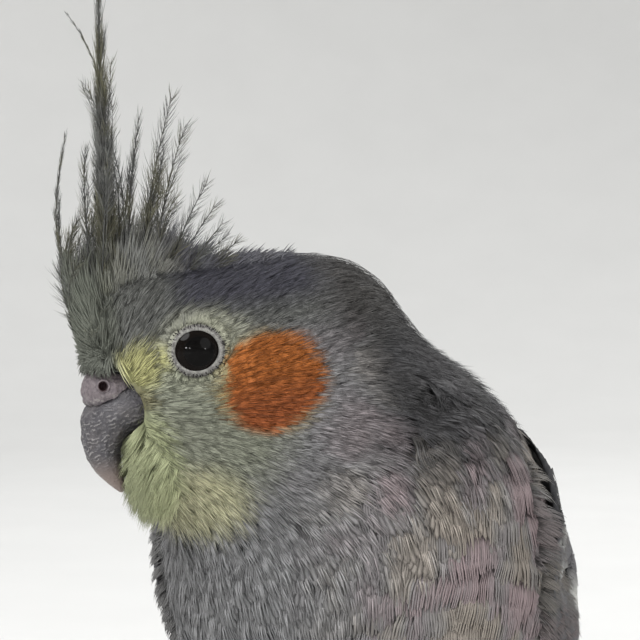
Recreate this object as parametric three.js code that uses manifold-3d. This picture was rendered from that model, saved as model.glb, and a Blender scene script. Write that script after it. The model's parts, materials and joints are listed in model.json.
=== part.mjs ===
// A grey cockatiel, life size, standing on the floor with its head turned to its right and its crest up.
// Millimetres, +Z up. The bird faces -Y, so +X is its left side. The origin is the middle of its
// footprint, on the floor. The feathered body is one smooth union of named ellipsoids, parted into head,
// neck and trunk by thin cuts.
import * as THREE from 'three';
import { mergeVertices } from 'three/addons/utils/BufferGeometryUtils.js';
import Module from 'manifold-3d';

const wasm = await Module();
wasm.setup();

// Driving dimensions
const GAP = 0.3; // between neighbouring solids
const LEAST = 0.3; // half the least thickness of a feather
const WELD = 1e-3; // vertices nearer than this are one
const RAY_STEP = 1; // the search for a surface along a ray
const RAY_HALVINGS = 12;
const FAR = 400; // larger than the bird
const SKULL = new THREE.Vector3(-16.5, -24, 103.6); // middle of the skull
const HEAD_TURN = 63; // degrees to the bird's right
const HEAD_DROP = 8; // degrees that the bill points down
const BODY_BLEND = 9; // how softly the body's ellipsoids run together
const HEAD_BLEND = 5;
const EYEBALL = 4.7; // radius
const EYE = new THREE.Vector3(5, 8.1, 1.2); // left eye's middle, from the skull: forwards, left, up
const HIP_SPREAD = 14.5; // each foot's distance from the midline
const FOOT_Y = 15; // where the feet stand, from the shoulders back
const TOE_HEIGHT = 1.2; // a toe's middle line above the floor
const TAIL_ROOT = new THREE.Vector3(0, 58, 34.5);
const TAIL_LENGTH = 150;
const TAIL_TIP = new THREE.Vector3(0, TAIL_ROOT.y + TAIL_LENGTH, 0.5);
const WING_OUT = 2.4; // a folded wing's thickness
const WING_TIP_Y = 124;
const HALF_SPAN = 60; // further out than the folded wings

const degrees = THREE.MathUtils.degToRad;
const vec = (x, y, z) => new THREE.Vector3(x, y, z);
const lerp = THREE.MathUtils.lerp;

// The skull's own frame: x forwards to the bill, y to the bird's left, z up.
const headFrame = new THREE.Matrix4()
  .makeTranslation(SKULL)
  .multiply(new THREE.Matrix4().makeRotationZ(degrees(-90 - HEAD_TURN)))
  .multiply(new THREE.Matrix4().makeRotationY(degrees(HEAD_DROP)));
const inHead = (x, y, z) => vec(x, y, z).applyMatrix4(headFrame);

// Ellipsoids. A body one leans by rise degrees from lying along the bird towards standing up.
function bodyBlob(middle, side, depth, long, rise) {
  const frame = new THREE.Matrix4()
    .makeTranslation(middle)
    .multiply(new THREE.Matrix4().makeRotationX(degrees(-rise)));
  return { back: frame.invert(), radii: vec(side, long, depth) };
}

function headBlob(x, y, z, long, side, high) {
  const frame = headFrame.clone().multiply(new THREE.Matrix4().makeTranslation(x, y, z));
  return { back: frame.invert(), radii: vec(long, side, high) };
}

const trunkBlobs = [
  bodyBlob(vec(0, -2, 66), 32, 29, 39, 50), // breast
  bodyBlob(vec(0, 27, 48), 26, 20, 36, 35), // belly
  bodyBlob(vec(0, 36, 60), 19, 13, 30, 36), // lower back
  bodyBlob(vec(0, 54, 39), 14, 10, 29, 22), // rump
  bodyBlob(vec(0, 74, 30), 10, 6, 25, 13), // coverts over and under the tail's root
  bodyBlob(vec(0, 8, 82), 24, 17, 24, 50), // mantle
  bodyBlob(vec(-1.5, -12, 83.5), 27, 20, 23, 60), // base of the neck
  bodyBlob(vec(-2, -8, 98), 11, 13, 14, 60), // nape
];

const headBlobs = [
  headBlob(0, 0, 1.5, 18, 11.6, 12), // braincase
  headBlob(12, 0, 5.5, 10, 8, 8.5), // forehead
  headBlob(8.5, 0, -5, 5.8, 7.5, 8), // feathers at the root of the bill
  headBlob(1, 5, -7.5, 13, 7.5, 11.5), // left cheek
  headBlob(1, -5, -7.5, 13, 7.5, 11.5), // right cheek
  headBlob(7.5, 0, -15.5, 10.3, 9.2, 10.3), // chin and throat
  headBlob(-14, 0, 1.3, 14, 12.2, 12), // back of the crown
];

// Distance to an ellipsoid, near enough close to its surface, and the smooth least of two.
const local = vec(0, 0, 0);
function blobDistance(blob, point) {
  local.copy(point).applyMatrix4(blob.back).divide(blob.radii);
  const reach = local.length();
  return (reach * (reach - 1)) / Math.max(local.divide(blob.radii).length(), 1e-9);
}

function softLeast(a, b, blend) {
  const share = Math.max(blend - Math.abs(a - b), 0) / blend;
  return Math.min(a, b) - (share * share * blend) / 4;
}

const unionOf = (blobs, blend) => (point) =>
  blobs.map((blob) => blobDistance(blob, point)).reduce((a, b) => softLeast(a, b, blend));
const trunkField = unionOf(trunkBlobs, BODY_BLEND);
const headField = unionOf(headBlobs, HEAD_BLEND);
const bodyField = (point) => softLeast(trunkField(point), headField(point), HEAD_BLEND);

// Solids. A closed geometry becomes a solid once its doubled vertices are merged.
function solidOf(geometry, matrix) {
  const g = geometry.clone();
  if (matrix) g.applyMatrix4(matrix);
  g.deleteAttribute('normal');
  g.deleteAttribute('uv');
  const merged = mergeVertices(g, WELD);
  const triVerts = new Uint32Array(merged.index.array);
  const vertProperties = merged.attributes.position.array;
  return new wasm.Manifold(new wasm.Mesh({ numProp: 3, vertProperties, triVerts }));
}

// What shows of a field from a middle point: a sphere whose vertices are moved out to the field's level.
// A crowd over 1 draws its rings together towards the far end, for a body that ends in a point there.
function grown(field, middle, pole, level, around, along, crowd = 1) {
  const geometry = new THREE.SphereGeometry(1, around, along);
  const turn = new THREE.Quaternion().setFromUnitVectors(vec(0, 1, 0), pole.clone().normalize());
  const spots = geometry.attributes.position;
  const ray = vec(0, 0, 0);
  const at = vec(0, 0, 0);
  for (let i = 0; i < spots.count; i++) {
    ray.fromBufferAttribute(spots, i);
    const share = Math.acos(THREE.MathUtils.clamp(ray.y, -1, 1)) / Math.PI;
    const polar = Math.PI * (1 - (1 - share) ** crowd);
    const round = Math.atan2(ray.x, ray.z);
    ray.setFromSphericalCoords(1, polar, round).applyQuaternion(turn);
    let low = 0;
    while (field(at.copy(middle).addScaledVector(ray, low + RAY_STEP)) < level) low += RAY_STEP;
    let high = low + RAY_STEP;
    for (let k = 0; k < RAY_HALVINGS; k++) {
      const half = (low + high) / 2;
      if (field(at.copy(middle).addScaledVector(ray, half)) < level) low = half;
      else high = half;
    }
    at.copy(middle).addScaledVector(ray, low);
    spots.setXYZ(i, at.x, at.y, at.z);
  }
  return solidOf(geometry);
}

// Everything on the side of a plane that its normal points to.
function beyond(point, normal) {
  const turn = new THREE.Quaternion().setFromUnitVectors(vec(0, 0, 1), normal.clone().normalize());
  const middle = point.clone().addScaledVector(normal.clone().normalize(), FAR / 2);
  const matrix = new THREE.Matrix4().compose(middle, turn, vec(1, 1, 1));
  return solidOf(new THREE.BoxGeometry(FAR, FAR, FAR), matrix);
}

const onSide = (solid, point, normal, clear = GAP / 2) =>
  solid.intersect(beyond(point.clone().addScaledVector(normal.clone().normalize(), clear), normal));

// A tapering limb: a cylinder bent along a curve. width and depth are half sizes that change with t, and
// face is the way that the depth is measured in.
function limb(points, face, width, depth, around = 8, steps = 8, grow = 0) {
  const curve = new THREE.CatmullRomCurve3(points);
  const geometry = new THREE.CylinderGeometry(1, 1, 1, around, steps);
  const spots = geometry.attributes.position;
  for (let i = 0; i < spots.count; i++) {
    const t = THREE.MathUtils.clamp(spots.getY(i) + 0.5, 0, 1);
    const middle = curve.getPointAt(t);
    const tangent = curve.getTangentAt(t);
    const side = tangent.clone().cross(face).normalize();
    const out = side.clone().cross(tangent);
    middle.addScaledVector(side, spots.getX(i) * (width(t) + grow));
    middle.addScaledVector(out, spots.getZ(i) * (depth(t) + grow));
    middle.addScaledVector(tangent, (t === 1 ? grow : 0) - (t === 0 ? grow : 0));
    spots.setXYZ(i, middle.x, middle.y, middle.z);
  }
  return solidOf(geometry);
}

// A half size that runs through evenly spaced values.
const through = (...values) => (t) => {
  const place = t * (values.length - 1);
  const from = Math.min(Math.floor(place), values.length - 2);
  return lerp(values[from], values[from + 1], place - from);
};

function ball(middle, x, y, z, frame = new THREE.Matrix4(), around = 16, along = 12) {
  const placed = frame
    .clone()
    .multiply(new THREE.Matrix4().makeTranslation(middle))
    .multiply(new THREE.Matrix4().makeScale(x, y, z));
  return solidOf(new THREE.SphereGeometry(1, around, along), placed);
}

const joined = (solids) => solids.reduce((a, b) => a.add(b));
const largest = (solid) => solid.decompose().sort((a, b) => b.volume() - a.volume())[0];

// The head's hard parts, in the skull's frame
const midline = (x, z) => inHead(x, 0, z);
const headLeft = vec(0, 1, 0).transformDirection(headFrame);
const headUp = vec(0, 0, 1).transformDirection(headFrame);

const upperBill = (grow = 0) =>
  limb(
    [midline(12, -4.6), midline(17.4, -6), midline(20, -10), midline(19.7, -14), midline(18, -18.2)],
    headLeft.clone().negate(),
    through(4.4, 4.3, 3.4, 2.2, 0.45),
    through(5.4, 5, 3.8, 2.5, 0.45),
    12,
    9,
    grow,
  );
const lowerBill = (grow = 0) =>
  limb(
    [midline(8, -11.5), midline(12, -14.2), midline(15.2, -14.4), midline(16.6, -12.6)],
    headLeft.clone().negate(),
    through(3, 2.6, 1.7, 0.6),
    through(4.2, 4.2, 3.4, 2.2),
    10,
    6,
    grow,
  );
const cereBall = (grow = 0) => ball(vec(17.4, 0, -2.7), 4.5 + grow, 5 + grow, 3.6 + grow, headFrame, 12, 8);
const nostril = (side) => ball(vec(19.2, side * 4.3, -1.8), 0.75, 1.4, 0.75, headFrame, 7, 5);
const eyeball = (side, grow = 0) =>
  ball(vec(EYE.x, side * EYE.y, EYE.z), ...Array(3).fill(EYEBALL + grow), headFrame, 12, 9);

// Head, neck and trunk are parted by a plane under the jaw and one over the shoulders.
const JAW_CUT = { point: vec(-7, -18, 89), normal: vec(-0.2, -0.35, 1) };
const SHOULDER_CUT = { point: vec(0, -10, 80), normal: vec(-0.1, -0.55, 1) };
const NECK_MIDDLE = vec(-3, -14, 88);
const TRUNK_MIDDLE = vec(0, 18, 57);
const TRUNK_AXIS = vec(0, -1, 0.72);

const down = (normal) => normal.clone().negate();
const HEAD_MESH = [22, 17]; // vertices around and along, and how they crowd to the far end
const NECK_MESH = [20, 11];
const TRUNK_MESH = [20, 16, 1.3];
const CARRIER_MESH = [18, 15, 1.5];
const wholeHead = grown(bodyField, SKULL, headUp, 0, ...HEAD_MESH);
const wholeNeck = grown(bodyField, NECK_MIDDLE, vec(0, 0, 1), 0, ...NECK_MESH);
const wholeTrunk = grown(trunkField, TRUNK_MIDDLE, TRUNK_AXIS, 0, ...TRUNK_MESH);
const nearTrunk = grown(trunkField, TRUNK_MIDDLE, TRUNK_AXIS, GAP, ...TRUNK_MESH);
const nearNeck = grown(bodyField, NECK_MIDDLE, vec(0, 0, 1), GAP, ...NECK_MESH);

const head = onSide(wholeHead, JAW_CUT.point, JAW_CUT.normal)
  .subtract(upperBill(GAP))
  .subtract(lowerBill(GAP))
  .subtract(cereBall(GAP))
  .subtract(eyeball(1, GAP))
  .subtract(eyeball(-1, GAP));
const belowJaw = onSide(wholeNeck, JAW_CUT.point, down(JAW_CUT.normal));
const neck = onSide(belowJaw, SHOULDER_CUT.point, SHOULDER_CUT.normal);
const trunkAlone = onSide(wholeTrunk, SHOULDER_CUT.point, down(SHOULDER_CUT.normal));

// Crest: a ridge of short feathers over the forehead, and plumes that stand up from it in a narrow fan.
// Each plume has its root on the crown and its tip, both as forwards and up from the skull, and how far it
// bows forwards.
const PLUMES = [
  { root: [20, 5], tip: [19, 36], bow: 1.6, wide: 1.2 },
  { root: [18, 8], tip: [16.2, 35], bow: 1.4, wide: 1.2 },
  { root: [16.5, 10], tip: [15.8, 54.5], bow: -1.6, wide: 1.2 },
  { root: [15.5, 10], tip: [10.6, 59], bow: 1.8, wide: 1.7 },
  { root: [13.5, 11], tip: [8, 37.5], bow: 1.6, wide: 1.3 },
  { root: [11.5, 11], tip: [5, 45], bow: 1.4, wide: 1.6 },
  { root: [10, 11.5], tip: [1.5, 40.5], bow: 1.6, wide: 1.7 },
  { root: [8, 12], tip: [1.6, 33], bow: 1.4, wide: 1.4 },
  { root: [6, 12], tip: [-1, 28], bow: 1.2, wide: 1.4 },
  { root: [3.5, 12], tip: [-2, 23], bow: 0.8, wide: 1.4 },
  { root: [1, 12], tip: [-4, 18.5], bow: 0.5, wide: 1.4 },
];
const PLUME_SPLAY = 1.6; // how far apart the tips stand, to the left and right
const crestRidge = ball(vec(11.5, 0, 13), 11, 3.4, 9.5, headFrame, 10, 7);
function plume({ root, tip, bow, wide }, index) {
  const aside = PLUME_SPLAY * (index % 2 ? 1 : -1);
  const at = (share) => {
    const bowed = Math.sin(Math.PI * share) * bow;
    return inHead(lerp(root[0], tip[0], share) + bowed, aside * share, lerp(root[1], tip[1], share));
  };
  return limb(
    [0, 0.35, 0.7, 1].map(at),
    headLeft,
    through(wide, wide * 1.3, wide, 0.45),
    through(0.9, 0.6, 0.4, LEAST),
    4,
    4,
  );
}
const nearHead = grown(bodyField, SKULL, headUp, GAP, ...HEAD_MESH);
const crest = largest(joined([crestRidge, ...PLUMES.map(plume)]).subtract(nearHead));

// Folded wings: what a carrier, which swells over the body and runs out above the tail, has outside the
// body, trimmed to the wing's outline.
const carrierBlobs = [
  ...trunkBlobs,
  bodyBlob(vec(0, 66, 46), 14, 9, 42, 31),
  bodyBlob(vec(0, 100, 30), 5, 4, 31, 27),
];
const CARRIER_MIDDLE = vec(0, 34, 56);
const CARRIER_AXIS = vec(0, -1, 0.5);
const carrier = grown(
  unionOf(carrierBlobs, BODY_BLEND),
  CARRIER_MIDDLE,
  CARRIER_AXIS,
  GAP + WING_OUT,
  ...CARRIER_MESH,
);
const TAIL_ROOM = { width: 17, depth: 2.6 }; // half sizes of what is kept clear for the tail
const tailClear = limb(
  [TAIL_ROOT, TAIL_ROOT.clone().lerp(TAIL_TIP, 0.5), TAIL_TIP],
  vec(0, 0, 1),
  () => TAIL_ROOM.width,
  () => TAIL_ROOM.depth,
  4,
  3,
);
const wingStuff = carrier.subtract(nearTrunk).subtract(nearNeck).subtract(tailClear);

// The outline from the side: y back, z up.
const wingOutline = new THREE.Shape();
wingOutline.moveTo(-9, 76);
wingOutline.bezierCurveTo(-13, 68, -10, 56, 0, 50); // the bend of the wing, at the shoulder
wingOutline.bezierCurveTo(18, 40, 44, 36, 70, 30); // lower edge, along the longest flight feather
wingOutline.quadraticCurveTo(98, 26, WING_TIP_Y, 21);
wingOutline.quadraticCurveTo(112, 36, 80, 58); // upper edge, over the rump
wingOutline.bezierCurveTo(60, 72, 40, 86, 18, 92);
wingOutline.bezierCurveTo(8, 91, -5, 86, -9, 76); // over the shoulder blade

function sideCut(shape, from, to) {
  // The extrusion runs along +X once its x is turned to y and its y to z.
  const upright = new THREE.Matrix4()
    .makeBasis(vec(0, 1, 0), vec(0, 0, 1), vec(1, 0, 0))
    .setPosition(from, 0, 0);
  const settings = { depth: to - from, bevelEnabled: false, curveSegments: 4 };
  return solidOf(new THREE.ExtrudeGeometry(shape, settings), upright);
}

// Coverts lie before the first cut, and behind it secondaries lie above the second and primaries below.
const COVERT_CUT = { point: vec(0, 30, 55), normal: vec(0, 1, 0.32) };
const FLIGHT_CUT = { point: vec(0, 60, 43), normal: vec(0, 0.34, 1) };
function wingPieces(side) {
  const [from, to] = side > 0 ? [GAP / 2, HALF_SPAN] : [-HALF_SPAN, -GAP / 2];
  const whole = wingStuff.intersect(sideCut(wingOutline, from, to));
  const rear = onSide(whole, COVERT_CUT.point, COVERT_CUT.normal);
  return {
    coverts: largest(onSide(whole, COVERT_CUT.point, down(COVERT_CUT.normal))),
    secondaries: largest(onSide(rear, FLIGHT_CUT.point, FLIGHT_CUT.normal)),
    primaries: largest(onSide(rear, FLIGHT_CUT.point, down(FLIGHT_CUT.normal))),
  };
}

// Tail: two long middle feathers on top and five shorter ones stepped under them on each side.
const TAIL_PAIRS = 6;
const TAIL_LAYER = 0.7; // how far each pair lies below the one before it
const TAIL_SAG = 1.6; // at the middle of a feather
const OUTER_TAIL = 0.56; // the outermost feather's length as a share of the middle one's
function tailFeather(side, pair) {
  const outward = pair / (TAIL_PAIRS - 1);
  const long = lerp(1, OUTER_TAIL, outward ** 0.8);
  const below = TAIL_LAYER * pair;
  const root = TAIL_ROOT.clone().add(vec(side * lerp(1.2, 5.5, outward), 0, -below));
  const end = vec(
    side * lerp(1, 9.5, outward),
    lerp(TAIL_ROOT.y, TAIL_TIP.y, long),
    lerp(TAIL_ROOT.z, TAIL_TIP.z, long) - below * (1 - outward),
  );
  return limb(
    [root, root.clone().lerp(end, 0.5).setZ(lerp(root.z, end.z, 0.5) - TAIL_SAG), end],
    vec(0, 0, 1),
    pair ? through(3, 6, 7, 6.4, 2.6) : through(3, 5.4, 5.6, 4, 1.6, 0.9),
    through(0.9, 0.9, 0.8, 0.6, LEAST),
    4,
    4,
  );
}
const tailFeathers = [];
for (let pair = 0; pair < TAIL_PAIRS; pair++) {
  tailFeathers.push(tailFeather(1, pair), tailFeather(-1, pair));
}
const aboveFloor = beyond(vec(0, 0, 0), vec(0, 0, 1));
const tail = largest(joined(tailFeathers).subtract(nearTrunk).intersect(aboveFloor));

// Legs. Toes two and three point forwards and toes one and four backwards, as on every parrot.
const TOES = [
  { name: 'inner', turn: 14, long: 13, forward: 1 },
  { name: 'outer', turn: -16, long: 17, forward: 1 },
  { name: 'hind', turn: 20, long: 8.5, forward: -1 },
  { name: 'outer_hind', turn: -24, long: 14, forward: -1 },
];
const CLAW_LONG = 5.5;
const TOE_THICK = 1.7; // half of it, between the joints
const TOE_RISE = 0.3; // how far a toe's root lies above its tip
const soleOf = (side) => vec(side * HIP_SPREAD, FOOT_Y, TOE_HEIGHT);

// A point on a toe's line, some way out from the sole, with the turn given towards the bird's midline.
function toePoint(side, toe, out, up) {
  const angle = degrees(toe.turn);
  const way = vec(-side * Math.sin(angle), -Math.cos(angle) * toe.forward, 0);
  return soleOf(side).addScaledVector(way, out).add(vec(0, 0, up));
}

function toeSolid(side, toe, grow = 0) {
  const line = [0, 0.5, 1].map((share) => toePoint(side, toe, toe.long * share, lerp(TOE_RISE, 0, share)));
  const thick = through(TOE_THICK + 0.2, 1.5, TOE_THICK, 1.35, 1.5, 1);
  return limb(line, vec(0, 0, 1), thick, thick, 6, 3, grow);
}

function clawSolid(side, toe) {
  const out = [-1, 1.4, 3.6, CLAW_LONG]; // from the toe's tip
  const up = [0.3, 0.9, 0.7, -0.9]; // the claw's arch
  const line = out.map((reach, i) => toePoint(side, toe, toe.long + reach, up[i]));
  return limb(line, vec(0, 0, 1), through(0.7, 0.75, 0.55, LEAST), through(0.9, 1, 0.7, LEAST), 4, 3);
}

const SOLE_PAD = vec(2.6, 3, 2.6); // half sizes of the ball of the foot
function wholeFoot(side, grow = 0) {
  const middle = soleOf(side).add(vec(0, 0, 0.8));
  const pad = ball(middle, SOLE_PAD.x + grow, SOLE_PAD.y + grow, SOLE_PAD.z + grow, undefined, 8, 6);
  return joined([pad, ...TOES.map((toe) => toeSolid(side, toe, grow))]);
}

const ankleOf = (side) => vec(side * (HIP_SPREAD + 0.5), FOOT_Y + 10, 17.5);
const shank = (side, grow = 0) =>
  limb(
    [
      soleOf(side).add(vec(0, 0.5, 1)),
      soleOf(side).lerp(ankleOf(side), 0.5),
      ankleOf(side),
      ankleOf(side).add(vec(0, -2, 6)),
    ],
    vec(1, 0, 0),
    through(2, 1.6, 1.9, 1.8),
    through(1.8, 1.5, 1.7, 1.8),
    7,
    5,
    grow,
  );
const thigh = (side) =>
  limb(
    [vec(side * 13, FOOT_Y - 2, 40), vec(side * 15, FOOT_Y + 4, 28), ankleOf(side).add(vec(0, -0.6, 1.2))],
    vec(1, 0, 0),
    through(12, 11, 8, 3.2),
    through(8, 7.5, 5.5, 2.8),
    9,
    5,
  );

function legPieces(side) {
  const foot = largest(wholeFoot(side).intersect(aboveFloor));
  const bare = largest(shank(side).subtract(wholeFoot(side, GAP)).subtract(nearTrunk));
  const feathered = largest(thigh(side).subtract(nearTrunk).subtract(shank(side, GAP)));
  const claws = TOES.map((toe) => ({
    name: toe.name,
    solid: largest(clawSolid(side, toe).subtract(wholeFoot(side, GAP)).intersect(aboveFloor)),
  }));
  return { foot, claws, feathered, bare };
}

// Finishes
const finish = (color, roughness = 0.85) => new THREE.MeshStandardMaterial({ color, roughness, metalness: 0 });
const finishes = {
  face: finish('#8b8d7c'),
  grey: finish('#6e6e6e'),
  crest: finish('#55564c'),
  wing: finish('#58585a'),
  flight: finish('#47464a'),
  tail: finish('#4d4c50'),
  thigh: finish('#7a7a79'),
  horn: finish('#6a6768', 0.45),
  cere: finish('#7d7477', 0.6),
  leg: finish('#6f6667', 0.6),
  claw: finish('#4a4445', 0.4),
  eye: finish('#0b0908', 0.05),
};

const bird = new THREE.Group();
bird.name = 'cockatiel';

function meshOf(name, solid, material) {
  const { numProp, vertProperties, triVerts } = solid.getMesh();
  const corners = new Float32Array(triVerts.length * 3);
  triVerts.forEach((vertex, i) => {
    for (let k = 0; k < 3; k++) corners[i * 3 + k] = vertProperties[vertex * numProp + k];
  });
  const geometry = new THREE.BufferGeometry().setAttribute('position', new THREE.BufferAttribute(corners, 3));
  geometry.computeVertexNormals();
  const mesh = new THREE.Mesh(geometry, material);
  mesh.name = name;
  return mesh;
}

function headGroup() {
  const group = new THREE.Group();
  group.add(meshOf('head', largest(head), finishes.face));
  group.add(meshOf('crest', crest, finishes.crest));
  group.add(meshOf('bill_upper', upperBill(), finishes.horn));
  group.add(meshOf('bill_lower', largest(lowerBill().subtract(upperBill(GAP))), finishes.horn));
  const cere = cereBall().subtract(upperBill(GAP)).subtract(nostril(1)).subtract(nostril(-1));
  group.add(meshOf('cere', largest(cere), finishes.cere));
  group.add(meshOf('eye_left', eyeball(1), finishes.eye));
  group.add(meshOf('eye_right', eyeball(-1), finishes.eye));
  return group;
}

function wingGroup(word, side) {
  const group = new THREE.Group();
  const pieces = wingPieces(side);
  group.add(meshOf(`wing_${word}_coverts`, pieces.coverts, finishes.wing));
  group.add(meshOf(`wing_${word}_secondaries`, pieces.secondaries, finishes.wing));
  group.add(meshOf(`wing_${word}_primaries`, pieces.primaries, finishes.flight));
  return group;
}

function legGroup(word, side) {
  const group = new THREE.Group();
  const pieces = legPieces(side);
  group.add(meshOf(`thigh_${word}`, pieces.feathered, finishes.thigh));
  group.add(meshOf(`shank_${word}`, pieces.bare, finishes.leg));
  group.add(meshOf(`foot_${word}`, pieces.foot, finishes.leg));
  for (const claw of pieces.claws) {
    group.add(meshOf(`claw_${word}_${claw.name}`, claw.solid, finishes.claw));
  }
  return group;
}

bird.add(headGroup());
bird.add(meshOf('neck', largest(neck), finishes.grey));
bird.add(meshOf('trunk', largest(trunkAlone), finishes.grey));
bird.add(meshOf('tail', tail, finishes.tail));
bird.add(wingGroup('left', 1), wingGroup('right', -1));
bird.add(legGroup('left', 1), legGroup('right', -1));

// The origin goes to the middle of the footprint.
const extent = new THREE.Box3().setFromObject(bird);
const middle = extent.getCenter(vec(0, 0, 0));
bird.position.set(-middle.x, -middle.y, -extent.min.z);

export default bird;
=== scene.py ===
# %% [markdown]
# A grey cockatiel, life size, standing with its head turned aside and its crest up.
# The imported solids give the outline out to the tips of the feathers. The bird could be sculpted by hand
# inside that outline, but then it might drift away from the solids. So this script makes one smooth skin
# from them, draws it in by the depth of the coat, and grows modelled feathers from the skin out to the
# outline. First the imported frame is loaded.

# %% Load the frame
import json
import math

import bmesh
import bpy
import numpy as np
from mathutils import Matrix, Vector, noise
from mathutils.bvhtree import BVHTree
from mathutils.kdtree import KDTree


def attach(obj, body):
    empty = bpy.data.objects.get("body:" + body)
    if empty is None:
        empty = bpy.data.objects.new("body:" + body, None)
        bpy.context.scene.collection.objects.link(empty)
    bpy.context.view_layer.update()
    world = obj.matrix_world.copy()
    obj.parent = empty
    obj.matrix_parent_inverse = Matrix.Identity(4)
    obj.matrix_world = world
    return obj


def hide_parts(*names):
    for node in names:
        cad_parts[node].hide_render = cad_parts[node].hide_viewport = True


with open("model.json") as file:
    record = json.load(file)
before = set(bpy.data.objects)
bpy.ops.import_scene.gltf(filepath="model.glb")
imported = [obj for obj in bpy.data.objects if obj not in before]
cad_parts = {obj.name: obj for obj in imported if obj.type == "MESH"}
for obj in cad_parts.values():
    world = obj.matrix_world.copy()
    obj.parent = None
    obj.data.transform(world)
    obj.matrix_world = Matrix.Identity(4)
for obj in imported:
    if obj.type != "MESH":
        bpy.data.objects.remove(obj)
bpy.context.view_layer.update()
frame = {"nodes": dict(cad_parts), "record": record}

# %% [markdown]
# A bird's head turns freely on its neck, so a place on the cheek is hard to give in the whole bird's
# directions. Everything could be turned by hand, but two frames are clearer. The bird's own frame has its
# shoulders over the origin and is found from the left sole, which the record gives. The skull's frame has x
# forwards to the bill, y to the bird's left and z up. Both count in millimetres.

# %% Frames of the bird and of its skull
MM = 0.001
NODES = frame["nodes"]
LEFT_SOLE = Vector(frame["record"]["mounts"][0]["pos_m"])
SOLE_IN_BIRD = Vector((14.5, 15, 0))
SKULL_IN_BIRD = Vector((-16.5, -24, 103.6))
HEAD_TURN = 63
HEAD_DROP = 8
BIRD = Matrix.Translation(LEFT_SOLE - SOLE_IN_BIRD * MM) @ Matrix.Scale(MM, 4)
SKULL = (
    BIRD
    @ Matrix.Translation(SKULL_IN_BIRD)
    @ Matrix.Rotation(math.radians(-90 - HEAD_TURN), 4, "Z")
    @ Matrix.Rotation(math.radians(HEAD_DROP), 4, "Y")
)


def in_bird(x, y, z):
    return np.array(BIRD @ Vector((x, y, z)))


def in_skull(x, y, z):
    return np.array(SKULL @ Vector((x, y, z)))


def places_in(matrix, points):
    """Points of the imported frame, in metres, as millimetres of one of the two frames."""
    back = np.array(matrix.inverted())
    return points @ back[:3, :3].T + back[:3, 3]


def skull_places(points):
    """Forwards, left and up of the skull."""
    return places_in(SKULL, points)


def bird_places(points):
    """Left, backwards and up of the bird."""
    return places_in(BIRD, points)


SKULL_AT = in_skull(0, 0, 0)
print("skull at", SKULL_AT.round(4), "bill tip at", in_skull(18, 0, -18.2).round(4))

# %% [markdown]
# The camera comes next, because each later step is judged through it. It looks at the bird's left cheek
# from a little above eye level, close, as a hand-held telephone does. A long lens from far away would frame
# the bird too, but the near cheek would then look flat.

# %% Camera
CAMERA_AIM = (-1.45, -24, 108.75)
CAMERA_TURN = 15
CAMERA_RISE = 3
CAMERA_DISTANCE = 350
FIELD_OF_VIEW = 15.5


def put_looking(made, aim, turn, rise, distance):
    """Puts a camera or light round the aim and above it, in degrees, and turns it to look back there."""
    turn, rise = math.radians(turn), math.radians(rise)
    out = Vector((math.sin(turn) * math.cos(rise), -math.cos(turn) * math.cos(rise), math.sin(rise)))
    made.location = Vector(aim) + out * distance
    made.rotation_mode = "QUATERNION"
    made.rotation_quaternion = (-out).to_track_quat("-Z", "Y")
    bpy.context.scene.collection.objects.link(made)


def make_camera():
    data = bpy.data.cameras.new("camera")
    data.lens_unit = "FOV"
    data.angle = math.radians(FIELD_OF_VIEW)
    data.clip_start = 0.01
    data.clip_end = 20
    camera = bpy.data.objects.new("camera", data)
    put_looking(camera, in_bird(*CAMERA_AIM), CAMERA_TURN, CAMERA_RISE, CAMERA_DISTANCE * MM)
    bpy.context.scene.camera = camera
    print("camera at", tuple(round(x, 4) for x in camera.location))


make_camera()

# %% [markdown]
# A finish is a tree of shader nodes, and most of them do sums. They could be added and linked one by one,
# but sums are easier to read. So a wire wraps a socket of the tree: adding or multiplying wires adds the
# Math nodes that do it, and any other node comes from one method.

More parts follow.
